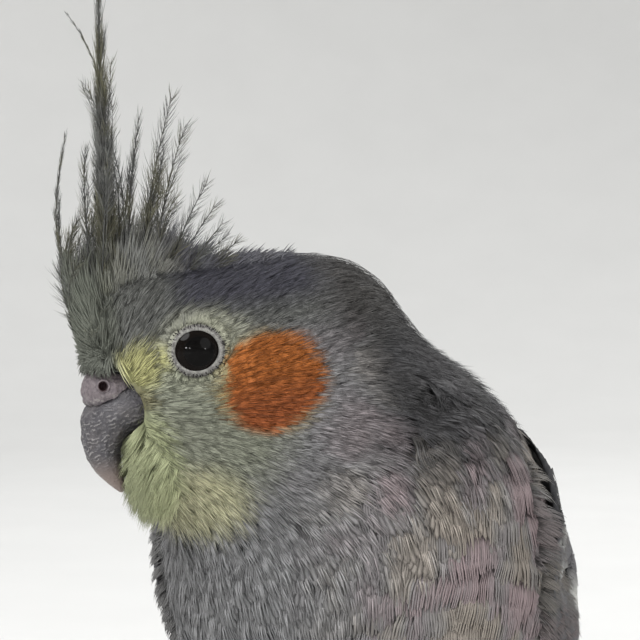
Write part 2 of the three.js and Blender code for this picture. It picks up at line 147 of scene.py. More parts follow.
# %% Wires, for materials
class Wire:
    def __init__(self, tree, socket=None):
        self.tree = tree
        self.socket = socket

    def add(self, kind, settings=None, inputs=None, output=0):
        """Any node: its settings first, then its sockets, fed by wires or set to constants."""
        node = self.tree.nodes.new(kind)
        for key, value in (settings or {}).items():
            setattr(node, key, value)
        for key, value in (inputs or {}).items():
            if isinstance(value, Wire):
                self.tree.links.new(value.socket, node.inputs[key])
            else:
                node.inputs[key].default_value = value
        return Wire(self.tree, node.outputs[output])

    def math(self, operation, *values):
        return self.add("ShaderNodeMath", {"operation": operation}, dict(enumerate(values)))

    def __add__(self, other):
        return self.math("ADD", self, other)

    def __sub__(self, other):
        return self.math("SUBTRACT", self, other)

    def __rsub__(self, other):
        return self.math("SUBTRACT", other, self)

    def __mul__(self, other):
        return self.math("MULTIPLY", self, other)

    def __truediv__(self, other):
        return self.math("DIVIDE", self, other)

    def __pow__(self, other):
        return self.math("POWER", self, other)

    def __abs__(self):
        return self.math("ABSOLUTE", self)

    __radd__ = __add__
    __rmul__ = __mul__

    def stripes(self):
        """0 to 1 and back each time this wire grows by a full turn."""
        return (self.math("SINE", self) + 1) * 0.5

    def step(self, low, high):
        """0 below low and 1 above high, with a smooth rise; a low above high falls instead."""
        inputs = {"Value": self, "From Min": min(low, high), "From Max": max(low, high)}
        if low > high:
            inputs |= {"To Min": 1.0, "To Max": 0.0}
        return self.add("ShaderNodeMapRange", {"interpolation_type": "SMOOTHSTEP"}, inputs)

    def mix(self, mask, other):
        """This colour, with the other one where the mask is 1."""
        return self.add("ShaderNodeMix", {"data_type": "RGBA"}, {0: mask, 6: self, 7: other}, 2)

    def shaded(self, factor):
        """This colour times a value."""
        grey = self.add("ShaderNodeCombineXYZ", {}, {0: factor, 1: factor, 2: factor})
        settings = {"data_type": "RGBA", "blend_type": "MULTIPLY"}
        return self.add("ShaderNodeMix", settings, {0: 1.0, 6: self, 7: grey}, 2)

    def noise(self, size, detail=2.0, rough=0.5):
        """Noise from 0 to 1 with lumps of about that size in millimetres."""
        settings = {"noise_dimensions": "3D"}
        inputs = {"Vector": self, "Scale": 1 / (size * MM), "Detail": detail, "Roughness": rough}
        return self.add("ShaderNodeTexNoise", settings, inputs)

    def dot(self, vector):
        return self.add("ShaderNodeVectorMath", {"operation": "DOT_PRODUCT"}, {0: self, 1: vector}, 1)

    def part(self, index):
        """One of a vector's three numbers."""
        return self.add("ShaderNodeSeparateXYZ", {}, {0: self}, index)

    def object_place(self):
        return self.add("ShaderNodeTexCoord", {}, {}, 3)

    def attribute(self, name):
        return self.add("ShaderNodeAttribute", {"attribute_name": name}, {}, 1)


def colour(red, green, blue):
    """A linear colour from the 0 to 255 numbers of a picture."""
    shares = np.array([red, green, blue]) / 255
    linear = np.where(shares <= 0.04045, shares / 12.92, ((shares + 0.055) / 1.055) ** 2.4)
    return (*linear.tolist(), 1.0)


def new_material(name, roughness, specular):
    """A Principled material and a wire into its tree. Constants go on the shader's own sockets."""
    material = bpy.data.materials.new(name)
    material.use_nodes = True
    tree = material.node_tree
    shader = tree.nodes["Principled BSDF"]
    shader.inputs["Roughness"].default_value = roughness
    shader.inputs["Specular IOR Level"].default_value = specular
    return material, shader, Wire(tree)


def feed(shader, key, wire):
    wire.tree.links.new(wire.socket, shader.inputs[key])


def feed_bumps(shader, height, depth, strength):
    """Bumps from a height of 0 to 1. Depth is in millimetres."""
    inputs = {"Height": height, "Distance": depth * MM, "Strength": strength}
    feed(shader, "Normal", height.add("ShaderNodeBump", {}, inputs))


print("an orange cheek is", colour(164, 96, 44))

# %% [markdown]
# The bird is grey, with a yellow face, an orange cheek, a dark crown and nape and a mauve tint on the
# breast. Its neck behind the head is darker, partly its own grey and partly painted shade. A painted picture
# could be wrapped round it, but a picture has a fixed fineness and seams. So the markings are one function of
# place, used by the skin and by every feather, and a gap between feathers shows the same colour below it.
# Each barb hands over the place where it shows, which makes it take a single colour, as real ones nearly do.
# Spots are soft ellipses on the side of the head.

# %% Markings
GREY = colour(128, 128, 129)
PALE_GREY = colour(140, 140, 141)
CROWN_GREY = colour(70, 69, 80)
FOREHEAD_GREY = colour(100, 101, 97)
BROW_GREY = colour(92, 95, 86)
NAPE_GREY = colour(72, 70, 68)
NECK_GREY_AND_SHADE = colour(64, 64, 66)
MAUVE = colour(160, 138, 140)
UMBER = colour(168, 154, 138)
SAGE = colour(142, 145, 127)
LEMON = colour(172, 170, 118)
CREAM = colour(158, 159, 140)
BIB = colour(190, 187, 152)
LIME = colour(156, 161, 125)
OLIVE = colour(112, 106, 74)
ORANGE = colour(164, 96, 44)
RUST = colour(140, 74, 44)
GOLD = colour(166, 146, 90)


def solid(place, tone):
    """One colour, as a wire that can be mixed further."""
    made = place.add("ShaderNodeRGB")
    made.socket.default_value = tone
    return made


def wires_in(matrix, place, rows):
    """Some of the three coordinates in one of the two frames, in millimetres, as wires."""
    back = np.array(matrix.inverted())
    return [place.dot(tuple(back[k, :3])) + float(back[k, 3]) for k in rows]


def skull_wires(place):
    """Forwards and up of the skull."""
    return wires_in(SKULL, place, (0, 2))


def spot(forward, up, middle, size, soft=0.25, power=2):
    """1 inside a soft ellipse on the side of the head. A higher power makes it squarer."""
    across = abs((forward - middle[0]) / size[0]) ** power
    high = abs((up - middle[1]) / size[1]) ** power
    return ((across + high) ** (1 / power)).step(1 + soft, 1 - soft)


def markings(place):
    """The plumage's colour at a place, from the broad tones to the small spots."""
    forward, up = skull_wires(place)
    forward = forward + (place.noise(2.6, 2.0) - 0.5) * 2.0
    up = up + (place.noise(1.9, 2.0) - 0.5) * 2.0
    tint = place.noise(9, 1.0)
    tone = solid(place, GREY)
    tone = tone.mix(place.noise(16, 1.0).step(0.45, 0.7) * 0.5, PALE_GREY)
    left_side = place.dot((1 / MM, 0, 0)).step(-4, 26)
    tone = tone.mix(left_side * tint.step(0.44, 0.64) * 0.7, MAUVE)
    tone = tone.mix(left_side * tint.step(0.54, 0.36) * 0.55, UMBER)
    # The neck behind the head is darker, partly its own grey and partly painted shade.
    tone = tone.mix(forward.step(-17, -25) * up.step(-30, -15) * 0.95, NECK_GREY_AND_SHADE)
    on_head = forward.step(-20, -12) * up.step(-30, -20)
    tone = tone.mix(on_head * up.step(1, 6) * 0.9, FOREHEAD_GREY)
    tone = tone.mix(forward.step(14, 17) * up.step(-3, -1) * 0.9, BROW_GREY)
    tone = tone.mix(on_head * forward.step(9, 3) * up.step(5, 10) * 0.9, CROWN_GREY)
    tone = tone.mix(forward.step(-12, -20) * up.step(-4, 6), NAPE_GREY)
    tone = tone.mix(spot(forward, up, (5, -10), (11, 11), 0.4) * 0.85, SAGE)
    tone = tone.mix(spot(forward, up, (8, -21.5), (7, 5.5), 0.4) * 0.85, BIB)
    tone = tone.mix(spot(forward, up, (14.4, -15), (5, 9.4), 0.3) * 0.9, LIME)
    tone = tone.mix(spot(forward, up, (3.8, 2), (7.2, 5.8), 0.35) * 0.85, CREAM)
    tone = tone.mix(spot(forward, up, (13.2, 0.6), (3.3, 3.8), 0.45) * 0.95, LEMON)
    tone = tone.mix(spot(forward, up, (14.4, -4.6), (3.0, 1.9), 0.45) * 0.75, OLIVE)
    tone = tone.mix(spot(forward, up, (9.6, -2.0), (2.2, 1.9), 0.5) * 0.6, SAGE)
    tone = tone.mix(spot(forward, up, (-4.8, -4.1), (8.0, 7.4), 0.2) * 0.7, GOLD)
    cheek = spot(forward, up, (-5.7, -4.4), (7.2, 7.2), 0.13, 3) * (up + forward * 0.6).step(-15.8, -13.8)
    tone = tone.mix(cheek, ORANGE)
    return tone.mix(cheek * up.step(-1, -9) * 0.7, RUST)


# %% [markdown]
# A feather's barbs are not all equally light. Near the root they carry painted shade, for the shade that
# other feathers cast there, and each one and each tuft differs a little. Every barb carries two attributes
# for
# this: the place whose colour it takes, and a grain of three numbers. Down below the feathers only needs soft
# lumps, and painted shade darkens it for the gaps between feathers.

# %% Finishes for feathers and down
def feather_material(
    name, body, roughness=0.62, root_shade=0.42, spread=0.3, patchy=0.3, gain=1.0, lit=(0.0, 0.7)
):
    """Body gives the colour, spread varies the barbs and patchy the tufts. The painted shade near the root
    ends at lit.
    """
    material, shader, wire = new_material(name, roughness, 0.22)
    place = wire.attribute("colour_place")
    grain = wire.attribute("grain")
    along, barb, tuft = (grain.part(k) for k in range(3))
    # Painted shade: each barb is darker towards its root, for the shade that the feathers over it cast there.
    light = along.step(*lit) * (1 - root_shade) + root_shade
    light = light * ((barb - 0.5) * spread + (tuft - 0.5) * patchy + gain)
    feed(shader, "Base Color", body(place).shaded(light))
    feed(shader, "Roughness", barb * 0.15 + (roughness - 0.07))
    return material


def down_material(name, body, lump):
    material, shader, wire = new_material(name, 0.85, 0.1)
    place = wire.object_place()
    fluff = place.noise(lump, 3.0)
    # Painted shade: the down is darker than the markings, for the gaps between feathers, in soft lumps.
    feed(shader, "Base Color", body(place).shaded(fluff * 0.3 + 0.62))
    feed_bumps(shader, fluff, 0.4, 0.6)
    return material


SKIN_DOWN = down_material("skin_down", markings, 0.7)
print("skin's finish has", len(SKIN_DOWN.node_tree.nodes), "nodes")

# %% [markdown]
# Under its feathers a bird has one skin without seams. The flesh nodes are faceted and parted by thin cuts,
# so copies of them are joined, remeshed in small voxels, which closes the cuts, smoothed, and drawn in by
# the coat's depth: least on the face, more on the breast and belly. A hand-sculpted shell would also do,
# but this one can't drift away from the solids.

# %% Joining and smoothing copies of solids
def link(mesh):
    """An object of the same name for a mesh."""
    made = bpy.data.objects.new(mesh.name, mesh)
    bpy.context.scene.collection.objects.link(made)
    return made


def merged_copy(names):
    bm = bmesh.new()
    for name in names:
        bm.from_mesh(NODES[name].data)
    bmesh.ops.remove_doubles(bm, verts=bm.verts, dist=1e-6)
    return bm


def work_in_modifiers(made):
    graph = bpy.context.evaluated_depsgraph_get()
    mesh = bpy.data.meshes.new_from_object(made.evaluated_get(graph))
    old = made.data
    made.modifiers.clear()
    made.data = mesh
    bpy.data.meshes.remove(old)


def refined(names, name, voxel, rounds):
    """A remeshed copy of some CAD nodes, smoothed in rounds. Voxel is in millimetres."""
    bm = merged_copy(names)
    mesh = bpy.data.meshes.new(name)
    bm.to_mesh(mesh)
    bm.free()
    made = link(mesh)
    remesh = made.modifiers.new("remesh", "REMESH")
    remesh.mode = "VOXEL"
    remesh.voxel_size = voxel * MM
    soften = made.modifiers.new("soften", "SMOOTH")
    soften.factor = 0.5
    soften.iterations = rounds
    work_in_modifiers(made)
    made.data.name = name
    made.data.shade_smooth()
    return made


def corners(mesh):
    found = np.empty(len(mesh.vertices) * 3, np.float32)
    mesh.vertices.foreach_get("co", found)
    return found.reshape(-1, 3).astype(float)


def vertex_normals(mesh):
    found = np.empty(len(mesh.vertices) * 3, np.float32)
    mesh.vertex_normals.foreach_get("vector", found)
    return found.reshape(-1, 3).astype(float)


def move_corners(mesh, places):
    mesh.vertices.foreach_set("co", places.astype(np.float32).ravel())
    mesh.update()


def pushed(made, amount):
    """Moves each corner of a piece along its normal. Amount gives millimetres from places."""
    places = corners(made.data)
    move_corners(made.data, places + vertex_normals(made.data) * amount(places)[:, None] * MM)


def triangles(mesh):
    return sum(len(p.vertices) - 2 for p in mesh.polygons)


made_triangles = {}


def finish_piece(made, material, replaced=()):
    """Gives a piece its finish, its body and the nodes that it stands for."""
    made.data.materials.append(material)
    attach(made, "root")
    if replaced:
        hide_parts(*replaced)
    made_triangles[made.name] = triangles(made.data)
    print(made.name, made_triangles[made.name], "triangles")


# %% The skin
FLESH = ["head", "neck", "trunk", "thigh_left", "thigh_right"]
FACE_DEPTH, BODY_DEPTH = 0.9, 2.2
HEAD_MIDDLE = np.array([-3, 0, -2])


def ramp(value, low, high):
    """Smooth step on arrays."""
    t = np.clip((value - low) / (high - low), 0, 1)
    return t * t * (3 - 2 * t)


def head_reach(points):
    """Millimetres from the middle of the head."""
    return np.linalg.norm(skull_places(points) - HEAD_MIDDLE, axis=1)


def coat_depth(points):
    """Millimetres from the skin out to the feathers' tips: less round the eyes and down the thighs."""
    depth = FACE_DEPTH + (BODY_DEPTH - FACE_DEPTH) * ramp(head_reach(points), 17, 34)
    head = skull_places(points)
    from_eye = np.linalg.norm(np.abs(head) - [5, 9.5, 1.2], axis=1)
    near_eye = 0.25 + 0.75 * ramp(from_eye, 3.5, 7.5)
    depth = np.where(head[:, 0] > 0, depth * near_eye, depth)
    down_leg = np.clip((30 - bird_places(points)[:, 2]) / 12, 0, 1)
    return depth * (1 - 0.45 * down_leg)


skin = refined(FLESH, "skin", 1.1, 9)
pushed(skin, lambda places: -coat_depth(places))
finish_piece(skin, SKIN_DOWN, FLESH)

# %% [markdown]
# A folded wing is a stack of feathers with a small arm inside. The arm doesn't show, so each wing only gets
# a lining: its three solids, joined, smoothed and drawn in a little. Its feathers are laid on it later, and
# no body feathers are wasted under it. The wing is grey with a white patch low on its front. Painted shade
# darkens a band along the top of its front edge, partly the darker grey of the small feathers there, and a
# narrow pale line runs from the patch up its front edge, partly white plumage and partly a painted rim light.

# %% Wing linings
LINING_DEPTH = 0.45


def front_edge_wire(behind, up):
    """Millimetres back from the upper front edge of a folded wing."""
    return behind - up * 1.69 + 137.4


def wing_tone(place):
    behind, up = wires_in(BIRD, place, (1, 2))
    behind = behind + (place.noise(5, 1.0) - 0.5) * 4
    tone = solid(place, colour(98, 97, 100))
    tone = tone.mix(place.noise(8, 2.0).step(0.45, 0.65) * 0.6, colour(112, 111, 112))
    tone = tone.mix(behind.step(60, 95) * 0.8, colour(70, 68, 70))
    from_edge = front_edge_wire(behind, up)
    # Painted shade: a dark band along the top of the front edge, partly the darker grey of the small feathers
    # there.
    tone = tone.mix(from_edge.step(4, 2) * up.step(74, 78), colour(68, 68, 70))
    low_edge = up + behind * 0.33
    patch = low_edge.step(71, 65)
    # The pale line up the front edge is partly white plumage and partly a painted rim light.
    pale_edge_and_rim_light = from_edge.step(2.5, 4) * from_edge.step(10, 6) * up.step(90, 86)
    white = patch.math("MAXIMUM", patch, pale_edge_and_rim_light * 0.6) * low_edge.step(47, 50)
    white = white * (behind + up.step(62, 72) * 14).step(3, 8) * behind.step(66, 52)
    return tone.mix(white * 0.95, colour(200, 200, 195))


def tree_of(mesh):
    """A search tree of a mesh's faces, for nearest places and rays."""
    return BVHTree.FromPolygons(
        [tuple(c) for c in corners(mesh)], [tuple(f.vertices) for f in mesh.polygons]
    )


def wing_lining(word):
    names = [f"wing_{word}_{part}" for part in ("coverts", "secondaries", "primaries")]
    made = refined(names, f"wing_{word}_lining", 0.9, 8)
    pushed(made, lambda places: np.full(len(places), -LINING_DEPTH))
    finish_piece(made, down_material("wing_down", wing_tone, 0.9), names)
    return made.data


LININGS = {word: wing_lining(word) for word in ("left", "right")}
WING_TREES = {word: tree_of(mesh) for word, mesh in LININGS.items()}

# %% [markdown]
# Plumage lies in one smooth flow: it runs out from the root of the bill over the head, and from the neck
# down the breast and back towards the tail. Feathers could be placed by hand, but thousands are needed. So
# each is laid by marching over the skin: a step goes along the flow and then drops back to the nearest
# place on the skin, and a long feather bends round the body.

# %% The lie of the plumage
SKIN_TREE = tree_of(skin.data)
BILL_ROOT = in_skull(17.5, 0, -5)
BELLY = in_bird(0, -4, 20)
TAIL_ROOT = in_bird(0, 62, 33)


def unit(vectors):
    return vectors / np.maximum(np.linalg.norm(vectors, axis=-1, keepdims=True), 1e-12)


def settle(points, tree=SKIN_TREE):
    """The nearest places on a surface and its normals there."""
    places, normals = np.empty_like(points), np.empty_like(points)
    for i, point in enumerate(points):
        place, normal, _, _ = tree.find_nearest(point)
        places[i] = place
        normals[i] = normal
    return places, normals


def flattened(ways, normals):
    """Directions with what points out of the surface taken away."""
    return unit(ways - normals * (ways * normals).sum(1, keepdims=True))


def far_of(places):
    """Millimetres from the skull's own origin."""
    return np.linalg.norm(places - SKULL_AT, axis=1) / MM


def lie(points, normals):
    """Which way the plumage lies, along the skin."""
    away = unit(points - BILL_ROOT)
    back = ramp(unit(normals)[:, 1], -0.25, 0.45)[:, None]
    target = BELLY * (1 - back) + TAIL_ROOT * back
    down = unit(target - points)
    share = (1 - ramp(far_of(points), 20, 46))[:, None]
    return flattened(away * share + down * (1 - share), normals)


def march(roots, ways, reach, shares, tree=SKIN_TREE):
    """Stations along a path over the surface. Reach is each path's length in metres."""
    places, normals = settle(roots, tree)
    found, facing = [places], [normals]
    for before, after in zip(shares, shares[1:]):
        ways = flattened(ways, normals)
        places, normals = settle(places + ways * (reach * (after - before))[:, None], tree)
        found.append(places)
        facing.append(normals)
    return np.stack(found, 1), np.stack(facing, 1)


print("the plumage runs from", BILL_ROOT.round(3), "to", TAIL_ROOT.round(3))

# %% [markdown]
# On a bird the feathers stand at even distances, closer on the face than on the body. Particles could
# scatter them, but they don't leave plain meshes. So many places are thrown over the surface by area, and
# one is kept only if no kept one is nearer than its spacing.

# %% Scatter the roots
THROWN = 4


def thinned(places, gaps, order):
    """The numbers of the places that stay, taken in an order, when each clears its gap round it."""
    tree = KDTree(len(places))
    for i, place in enumerate(places):
        tree.insert(place, i)
    tree.balance()
    free = np.ones(len(places), bool)
    kept = []
    for i in order:
        if free[i]:
            kept.append(i)
            for _, j, _ in tree.find_range(places[i], gaps[i]):
                free[j] = False
    return kept


def scattered(mesh, spacing, seed, wanted):
    """Evenly scattered places on a mesh. Spacing gives millimetres from places, wanted a mask."""
    rng = np.random.default_rng(seed)
    mesh.calc_loop_triangles()
    index = np.empty(len(mesh.loop_triangles) * 3, np.int32)
    mesh.loop_triangles.foreach_get("vertices", index)
    a, b, c = (corners(mesh)[index.reshape(-1, 3)[:, k]] for k in range(3))
    middles = (a + b + c) / 3
    area = np.linalg.norm(np.cross(b - a, c - a), axis=1) / 2
    gap = spacing(middles) * MM
    weight = np.where(wanted(middles), area, 0) / gap**2
    count = int(weight.sum() * THROWN)
    pick = rng.choice(len(area), count, p=weight / weight.sum())
    u, v = rng.random((2, count, 1))
    u, v = np.where(u + v > 1, 1 - u, u), np.where(u + v > 1, 1 - v, v)
    places = a[pick] + u * (b[pick] - a[pick]) + v * (c[pick] - a[pick])
    return places[thinned(places, gap[pick], range(count))]


print("places thrown for each one that could stay:", THROWN)

# %% [markdown]
# A barb is the finest branch of a feather. Each could be a curve with thickness, but many thousands of them
# would be slow. So a barb is a thin closed strip with a low ridge, pointed at its end: three corners at each
# station and one at the tip. A whole coat is written straight into one mesh from arrays. The corners keep
# the place whose colour the barb takes, and a small patch of the map OFBake at that place on an unwrap of
# the bird.

# %% Barbs into meshes
PATCH = 0.003


def barb_faces(stations):
    """The faces of one barb, as corner numbers, quads first."""
    quads = []
    for k in range(stations - 2):
        a, b = 3 * k, 3 * k + 3
        quads += [(a, a + 1, b + 1, b), (a + 1, a + 2, b + 2, b + 1), (a + 2, a, b, b + 2)]
    a, tip = 3 * (stations - 2), 3 * (stations - 1)
    return quads, [(a, a + 1, tip), (a + 1, a + 2, tip), (a + 2, a, tip), (0, 2, 1)]


def mesh_of(name, vertices, quads, tris):
    """A mesh from arrays of corner places and corner numbers. Returns its face corners too."""
    mesh = bpy.data.meshes.new(name)
    mesh.vertices.add(vertices.size // 3)
    mesh.vertices.foreach_set("co", vertices.astype(np.float32).ravel())
    loops = np.concatenate([quads.ravel(), tris.ravel()]).astype(np.int32)
    sizes = np.concatenate([np.full(len(quads), 4), np.full(len(tris), 3)])
    starts = np.concatenate([[0], np.cumsum(sizes)[:-1]]).astype(np.int32)
    mesh.loops.add(len(loops))
    mesh.loops.foreach_set("vertex_index", loops)
    mesh.polygons.add(len(sizes))
    mesh.polygons.foreach_set("loop_start", starts)
    return mesh, loops


def lay_vectors(mesh, name, values):
    """An attribute with one vector for each corner."""
    held = mesh.attributes.new(name, "FLOAT_VECTOR", "POINT")
    held.data.foreach_set("vector", values.astype(np.float32).ravel())


def lay_chart(mesh, spots):
    """The map OFBake, from one place for each face corner."""
    chart = mesh.uv_layers.new(name="OFBake")
    chart.data.foreach_set("uv", spots.astype(np.float32).ravel())


def unwrapped(points):
    """A point's place on the skin's own unwrap: round the bird's bent axis, and along it."""
    head = skull_places(points)
    body = bird_places(points)
    middle = np.stack([0 * body[:, 1], body[:, 1], 92 - 0.72 * (body[:, 1] + 10)], 1)
    round_body = np.arctan2(body[:, 0], body[:, 2] - middle[:, 2])
    round_head = np.arctan2(head[:, 1], head[:, 2] + 3)
    near = np.linalg.norm(head, axis=1) < 26
    turn = np.where(near, round_head, round_body) / (2 * np.pi) + 0.5
    along = np.where(near, (25 - head[:, 0]) / 52 * 0.4, 0.4 + 0.6 * (body[:, 1] + 45) / 270)
    return np.clip(np.stack([turn, along], 1), 0, 1)


def stretched(spots):
    """Fills the square with one piece's own share of the unwrap."""
    low, high = spots.min(0), spots.max(0)
    return (spots - low) / np.maximum(high - low, 1e-6)


def barb_mesh(name, middle, normal, width, ridge, places, grain):
    """One mesh of barbs. Middle and normal are (barbs, stations, 3), width and ridge (barbs, stations)."""
    count, stations = middle.shape[:2]
    along = unit(np.gradient(middle, axis=1))
    side = unit(np.cross(along, normal))
    half = side * (width / 2)[..., None]
    lift = unit(np.cross(side, along)) * ridge[..., None]
    rows = np.stack([middle - half, middle + lift, middle + half], 2)[:, :-1]
    per_barb = 3 * (stations - 1) + 1
    vertices = np.concatenate([rows.reshape(count, -1, 3), middle[:, -1:]], 1)
    offsets = (np.arange(count) * per_barb)[:, None, None]
    quads, tris = (np.array(f)[None] + offsets for f in barb_faces(stations))
    mesh, loops = mesh_of(name, vertices, quads.reshape(-1, 4), tris.reshape(-1, 3))
    travelled = np.cumsum(np.linalg.norm(np.diff(middle, axis=1), axis=2), axis=1)
    share = np.concatenate([np.zeros((count, 1)), travelled / travelled[:, -1:]], 1)
    local = np.empty((count, per_barb, 2))
    local[..., 0] = np.append(np.tile([0, 0.5, 1], stations - 1), 0.5)
    local[:, :-1, 1] = np.repeat(share[:, :-1], 3, 1) + np.tile([0, 0.04, 0], stations - 1)
    local[:, -1, 1] = 1
    fibre = np.repeat(grain[:, None], per_barb, 1)
    fibre[..., 0] = local[..., 1]
    patches = np.repeat(stretched(unwrapped(places)), per_barb, 0)
    spots = patches * (1 - PATCH) + local.reshape(-1, 2) * PATCH
    lay_vectors(mesh, "colour_place", np.repeat(places, per_barb, 0))
    lay_vectors(mesh, "grain", fibre)
    lay_chart(mesh, spots[loops])
    mesh.update()
    return mesh


def finish_barbs(name, arrays, material, replaced=()):
    """The arrays for barb_mesh as one finished piece."""
    finish_piece(link(barb_mesh(name, *arrays)), material, replaced)


print("a barb of 5 stations has", sum(len(faces) for faces in barb_faces(5)), "faces")

# %% [markdown]
# Most feathers of the head and body are tufts, a soft shaft with barbs on both sides. Each could be one flat
# card with a picture of barbs, but a card's edge looks cut. So the shaft marches over the skin from its
# root, and its barbs fan out from it and rise to the coat's depth. Stations crowd towards the tip, where the
# barbs part from each other.

# %% Tufts of barbs
def fan(
    shaft, facing, shares, half_width, barbs, depth, rng,
    parted=0.6, wander=0.1, rough=0.1, ridged=0.26, lifted=2, curved=0.3, ragged=0.14, droop=0, taper=None,
):
    """Arrays for barb_mesh from shafts. Depth is how far the tips rise, in metres and one per shaft.
    A barb takes the colour of the place where it shows, near its end, so markings stay where they are."""
    count, stations = shaft.shape[:2]
    shares = np.array(shares)
    side = unit(np.cross(unit(np.gradient(shaft, axis=1)), facing))
    place = np.linspace(-1, 1, barbs) + rng.normal(0, 0.12 / barbs, (count, barbs))
    opened = 0.3 + 0.7 * np.sin(np.pi / 2 * np.clip(shares * 1.25, 0, 1))
    spread = place[..., None] * opened * half_width[:, None, None]
    spread = spread + rng.normal(0, wander, (count, barbs, 1)) * shares**2 * half_width[:, None, None]
    short = 1 - curved * place**2 - rng.random((count, barbs)) * ragged
    reached = shares * short[..., None]
    grid = np.interp(reached, shares, np.arange(stations))
    low = np.clip(np.floor(grid).astype(int), 0, stations - 2)
    part = (grid - low)[..., None]
    row = np.arange(count)[:, None, None]
    middle = shaft[row, low] * (1 - part) + shaft[row, low + 1] * part
    normal = unit(facing[row, low] * (1 - part) + facing[row, low + 1] * part)
    across = side[row, low] * (1 - part) + side[row, low + 1] * part
    uneven = 1 + rng.normal(0, rough, (count, barbs, 1)) * shares**2
    rise = (1 - (1 - np.clip(reached, 0, 1)) ** lifted) * uneven
    rise = rise * (1 - droop * place[..., None] ** 2)
    middle = middle + across * spread[..., None] + normal * (rise * depth[:, None, None])[..., None]
    gap = opened * half_width[:, None] * 2 / max(barbs - 1, 1)
    thin = np.interp(shares, *(taper or ([0, parted, 1], [1.4, 1.15, 0.3])))
    width = np.repeat((gap * thin)[:, None], barbs, 1)
    rounded = np.interp(shares, [0, parted * 0.8, parted, 1], [0.12, 0.12, 1, 1])
    ridge = width * rounded * ridged * (0.6 + 0.8 * rng.random((count, barbs, 1)))
    tuft = np.repeat(rng.random((count, 1)), barbs, 1)
    grain = np.stack([np.zeros((count, barbs)), rng.random((count, barbs)), tuft], -1)
    shown = middle[:, :, -2:].mean(2)
    return [a.reshape(count * barbs, *a.shape[2:]) for a in (middle, normal, width, ridge, shown, grain)]


def tufts(roots, ways, reach, shares, *rest, tree=SKIN_TREE, **words):
    """A fan on each root, laid over a surface. Reach is in metres and one per root."""
    shaft, facing = march(roots, ways, reach, shares, tree)
    return fan(shaft, facing, shares, *rest, **words)


def swung(ways, normals, angles):
    """Directions turned about the normals."""
    c, s = np.cos(angles)[:, None], np.sin(angles)[:, None]
    return ways * c + np.cross(normals, ways) * s


def split_and_finish(name, arrays, groups, material):
    """One piece for each group of barbs."""
    for label, chosen in groups.items():
        if chosen.any():
            finish_barbs(f"{name}_{label}", [a[chosen] for a in arrays], material)


def evenly(gap):
    """The same spacing everywhere."""
    return lambda places: np.full(len(places), gap)


def straight(roots, ways, reach, shares):
    """Shafts that stand free of the skin. Reach is in metres and one per root."""
    return roots[:, None] + ways[:, None] * (shares * reach[:, None])[..., None]


# %% [markdown]
# The face has the smallest feathers, fine and soft like short hair. They leave bare the ring round the eye,
# the cere and the bill. Hair particles would look alike, but a model is kept as plain meshes. So small tufts
# are laid close together. They grow longer away from the bill and thin out on the neck, where the rows
# begin.

# %% Coat of the face and crown
FACE_COAT = feather_material("face_feathers", markings, 0.6, 0.72, 0.26, 0.08, 1.16)
FUR_END = 44
EYE_RING = 3.6
EYE_AT = (5.5, 8.1, 1.85)
CERE_MIDDLE = (17.4, 0, -2.7)
CERE_HALVES = (4.5, 5.0, 3.5)
BILL_CLEARANCE = 0.5
BILL_TREE = tree_of(NODES["bill_upper"].data)


def bare(points):
    """True on the ring round the eye and where the cere and bill come out."""
    head = skull_places(points)
    eye = np.hypot(head[:, 0] - EYE_AT[0], head[:, 2] - EYE_AT[2])
    cere = np.linalg.norm((head - CERE_MIDDLE) / CERE_HALVES, axis=1)
    near_bill = np.array([BILL_TREE.find_nearest(p)[3] for p in points]) < BILL_CLEARANCE * MM
    return ((eye < EYE_RING) & (np.abs(head[:, 1]) > 4)) | (cere < 1) | near_bill


def on_face(points):
    return (head_reach(points) < FUR_END) & ~bare(points)


def face_gap(points):
    far = head_reach(points)
    return 0.74 + 0.3 * ramp(far, 13, 22) + 0.7 * ramp(far, 22, 36)


def face_groups(places):
    """The pieces that the face's barbs are shared out to, as masks."""
    head = skull_places(places)
    left, high = head[:, 1] > 0, head[:, 2] > 5
    near = head_reach(places) < 22
    return {
        "left_cheek": left & ~high & near, "right_cheek": ~left & ~high & near,
        "left_crown": left & high, "right_crown": ~left & high,
        "left_throat": left & ~high & ~near, "right_throat": ~left & ~high & ~near,
    }


def lay_face():
    rng = np.random.default_rng(11)
    roots = scattered(skin.data, face_gap, 12, on_face)
    roots = roots[rng.random(len(roots)) > ramp(head_reach(roots), 32, 46)]
    roots, normals = settle(roots)
    count, far = len(roots), head_reach(roots)
    ways = swung(lie(roots, normals), normals, rng.normal(0, 0.09, count))
    size = ramp(far, 13, 25)
    further = ramp(far, 26, 36)
    reach = (3.8 + 2.2 * size + 1.5 * further) * (0.8 + 0.4 * rng.random(count)) * MM
    half = (0.55 + 0.45 * size + 0.3 * further) * MM
    raised = 1 + 0.4 * ramp(far, 24, 30)
    depth = coat_depth(roots) * raised * (0.7 + 0.35 * rng.random(count)) * MM
    words = {"wander": 0.14, "rough": 0.1, "ridged": 0.2, "ragged": 0.3}
    arrays = tufts(roots, ways, reach, (0, 0.5, 1), half, 9, depth, rng, **words)
    split_and_finish("face", arrays, face_groups(arrays[4]), FACE_COAT)
    print("face tufts", count)


lay_face()

# %% [markdown]
# Single dark hair-like feathers lie on the face and run back from the bill. Dark lines in the finish would
# be quicker, but they would lie flat. So each is one long thin barb that marches over the skin, just above
# the tips of the tufts.

# %% Dark hair-like feathers
def streak_tone(place):
    return markings(place).shaded(place.noise(4) * 0.2 + 0.42)


def streak_gap(points):
    return 0.66 + 0.9 * ramp(head_reach(points), 22, 42)


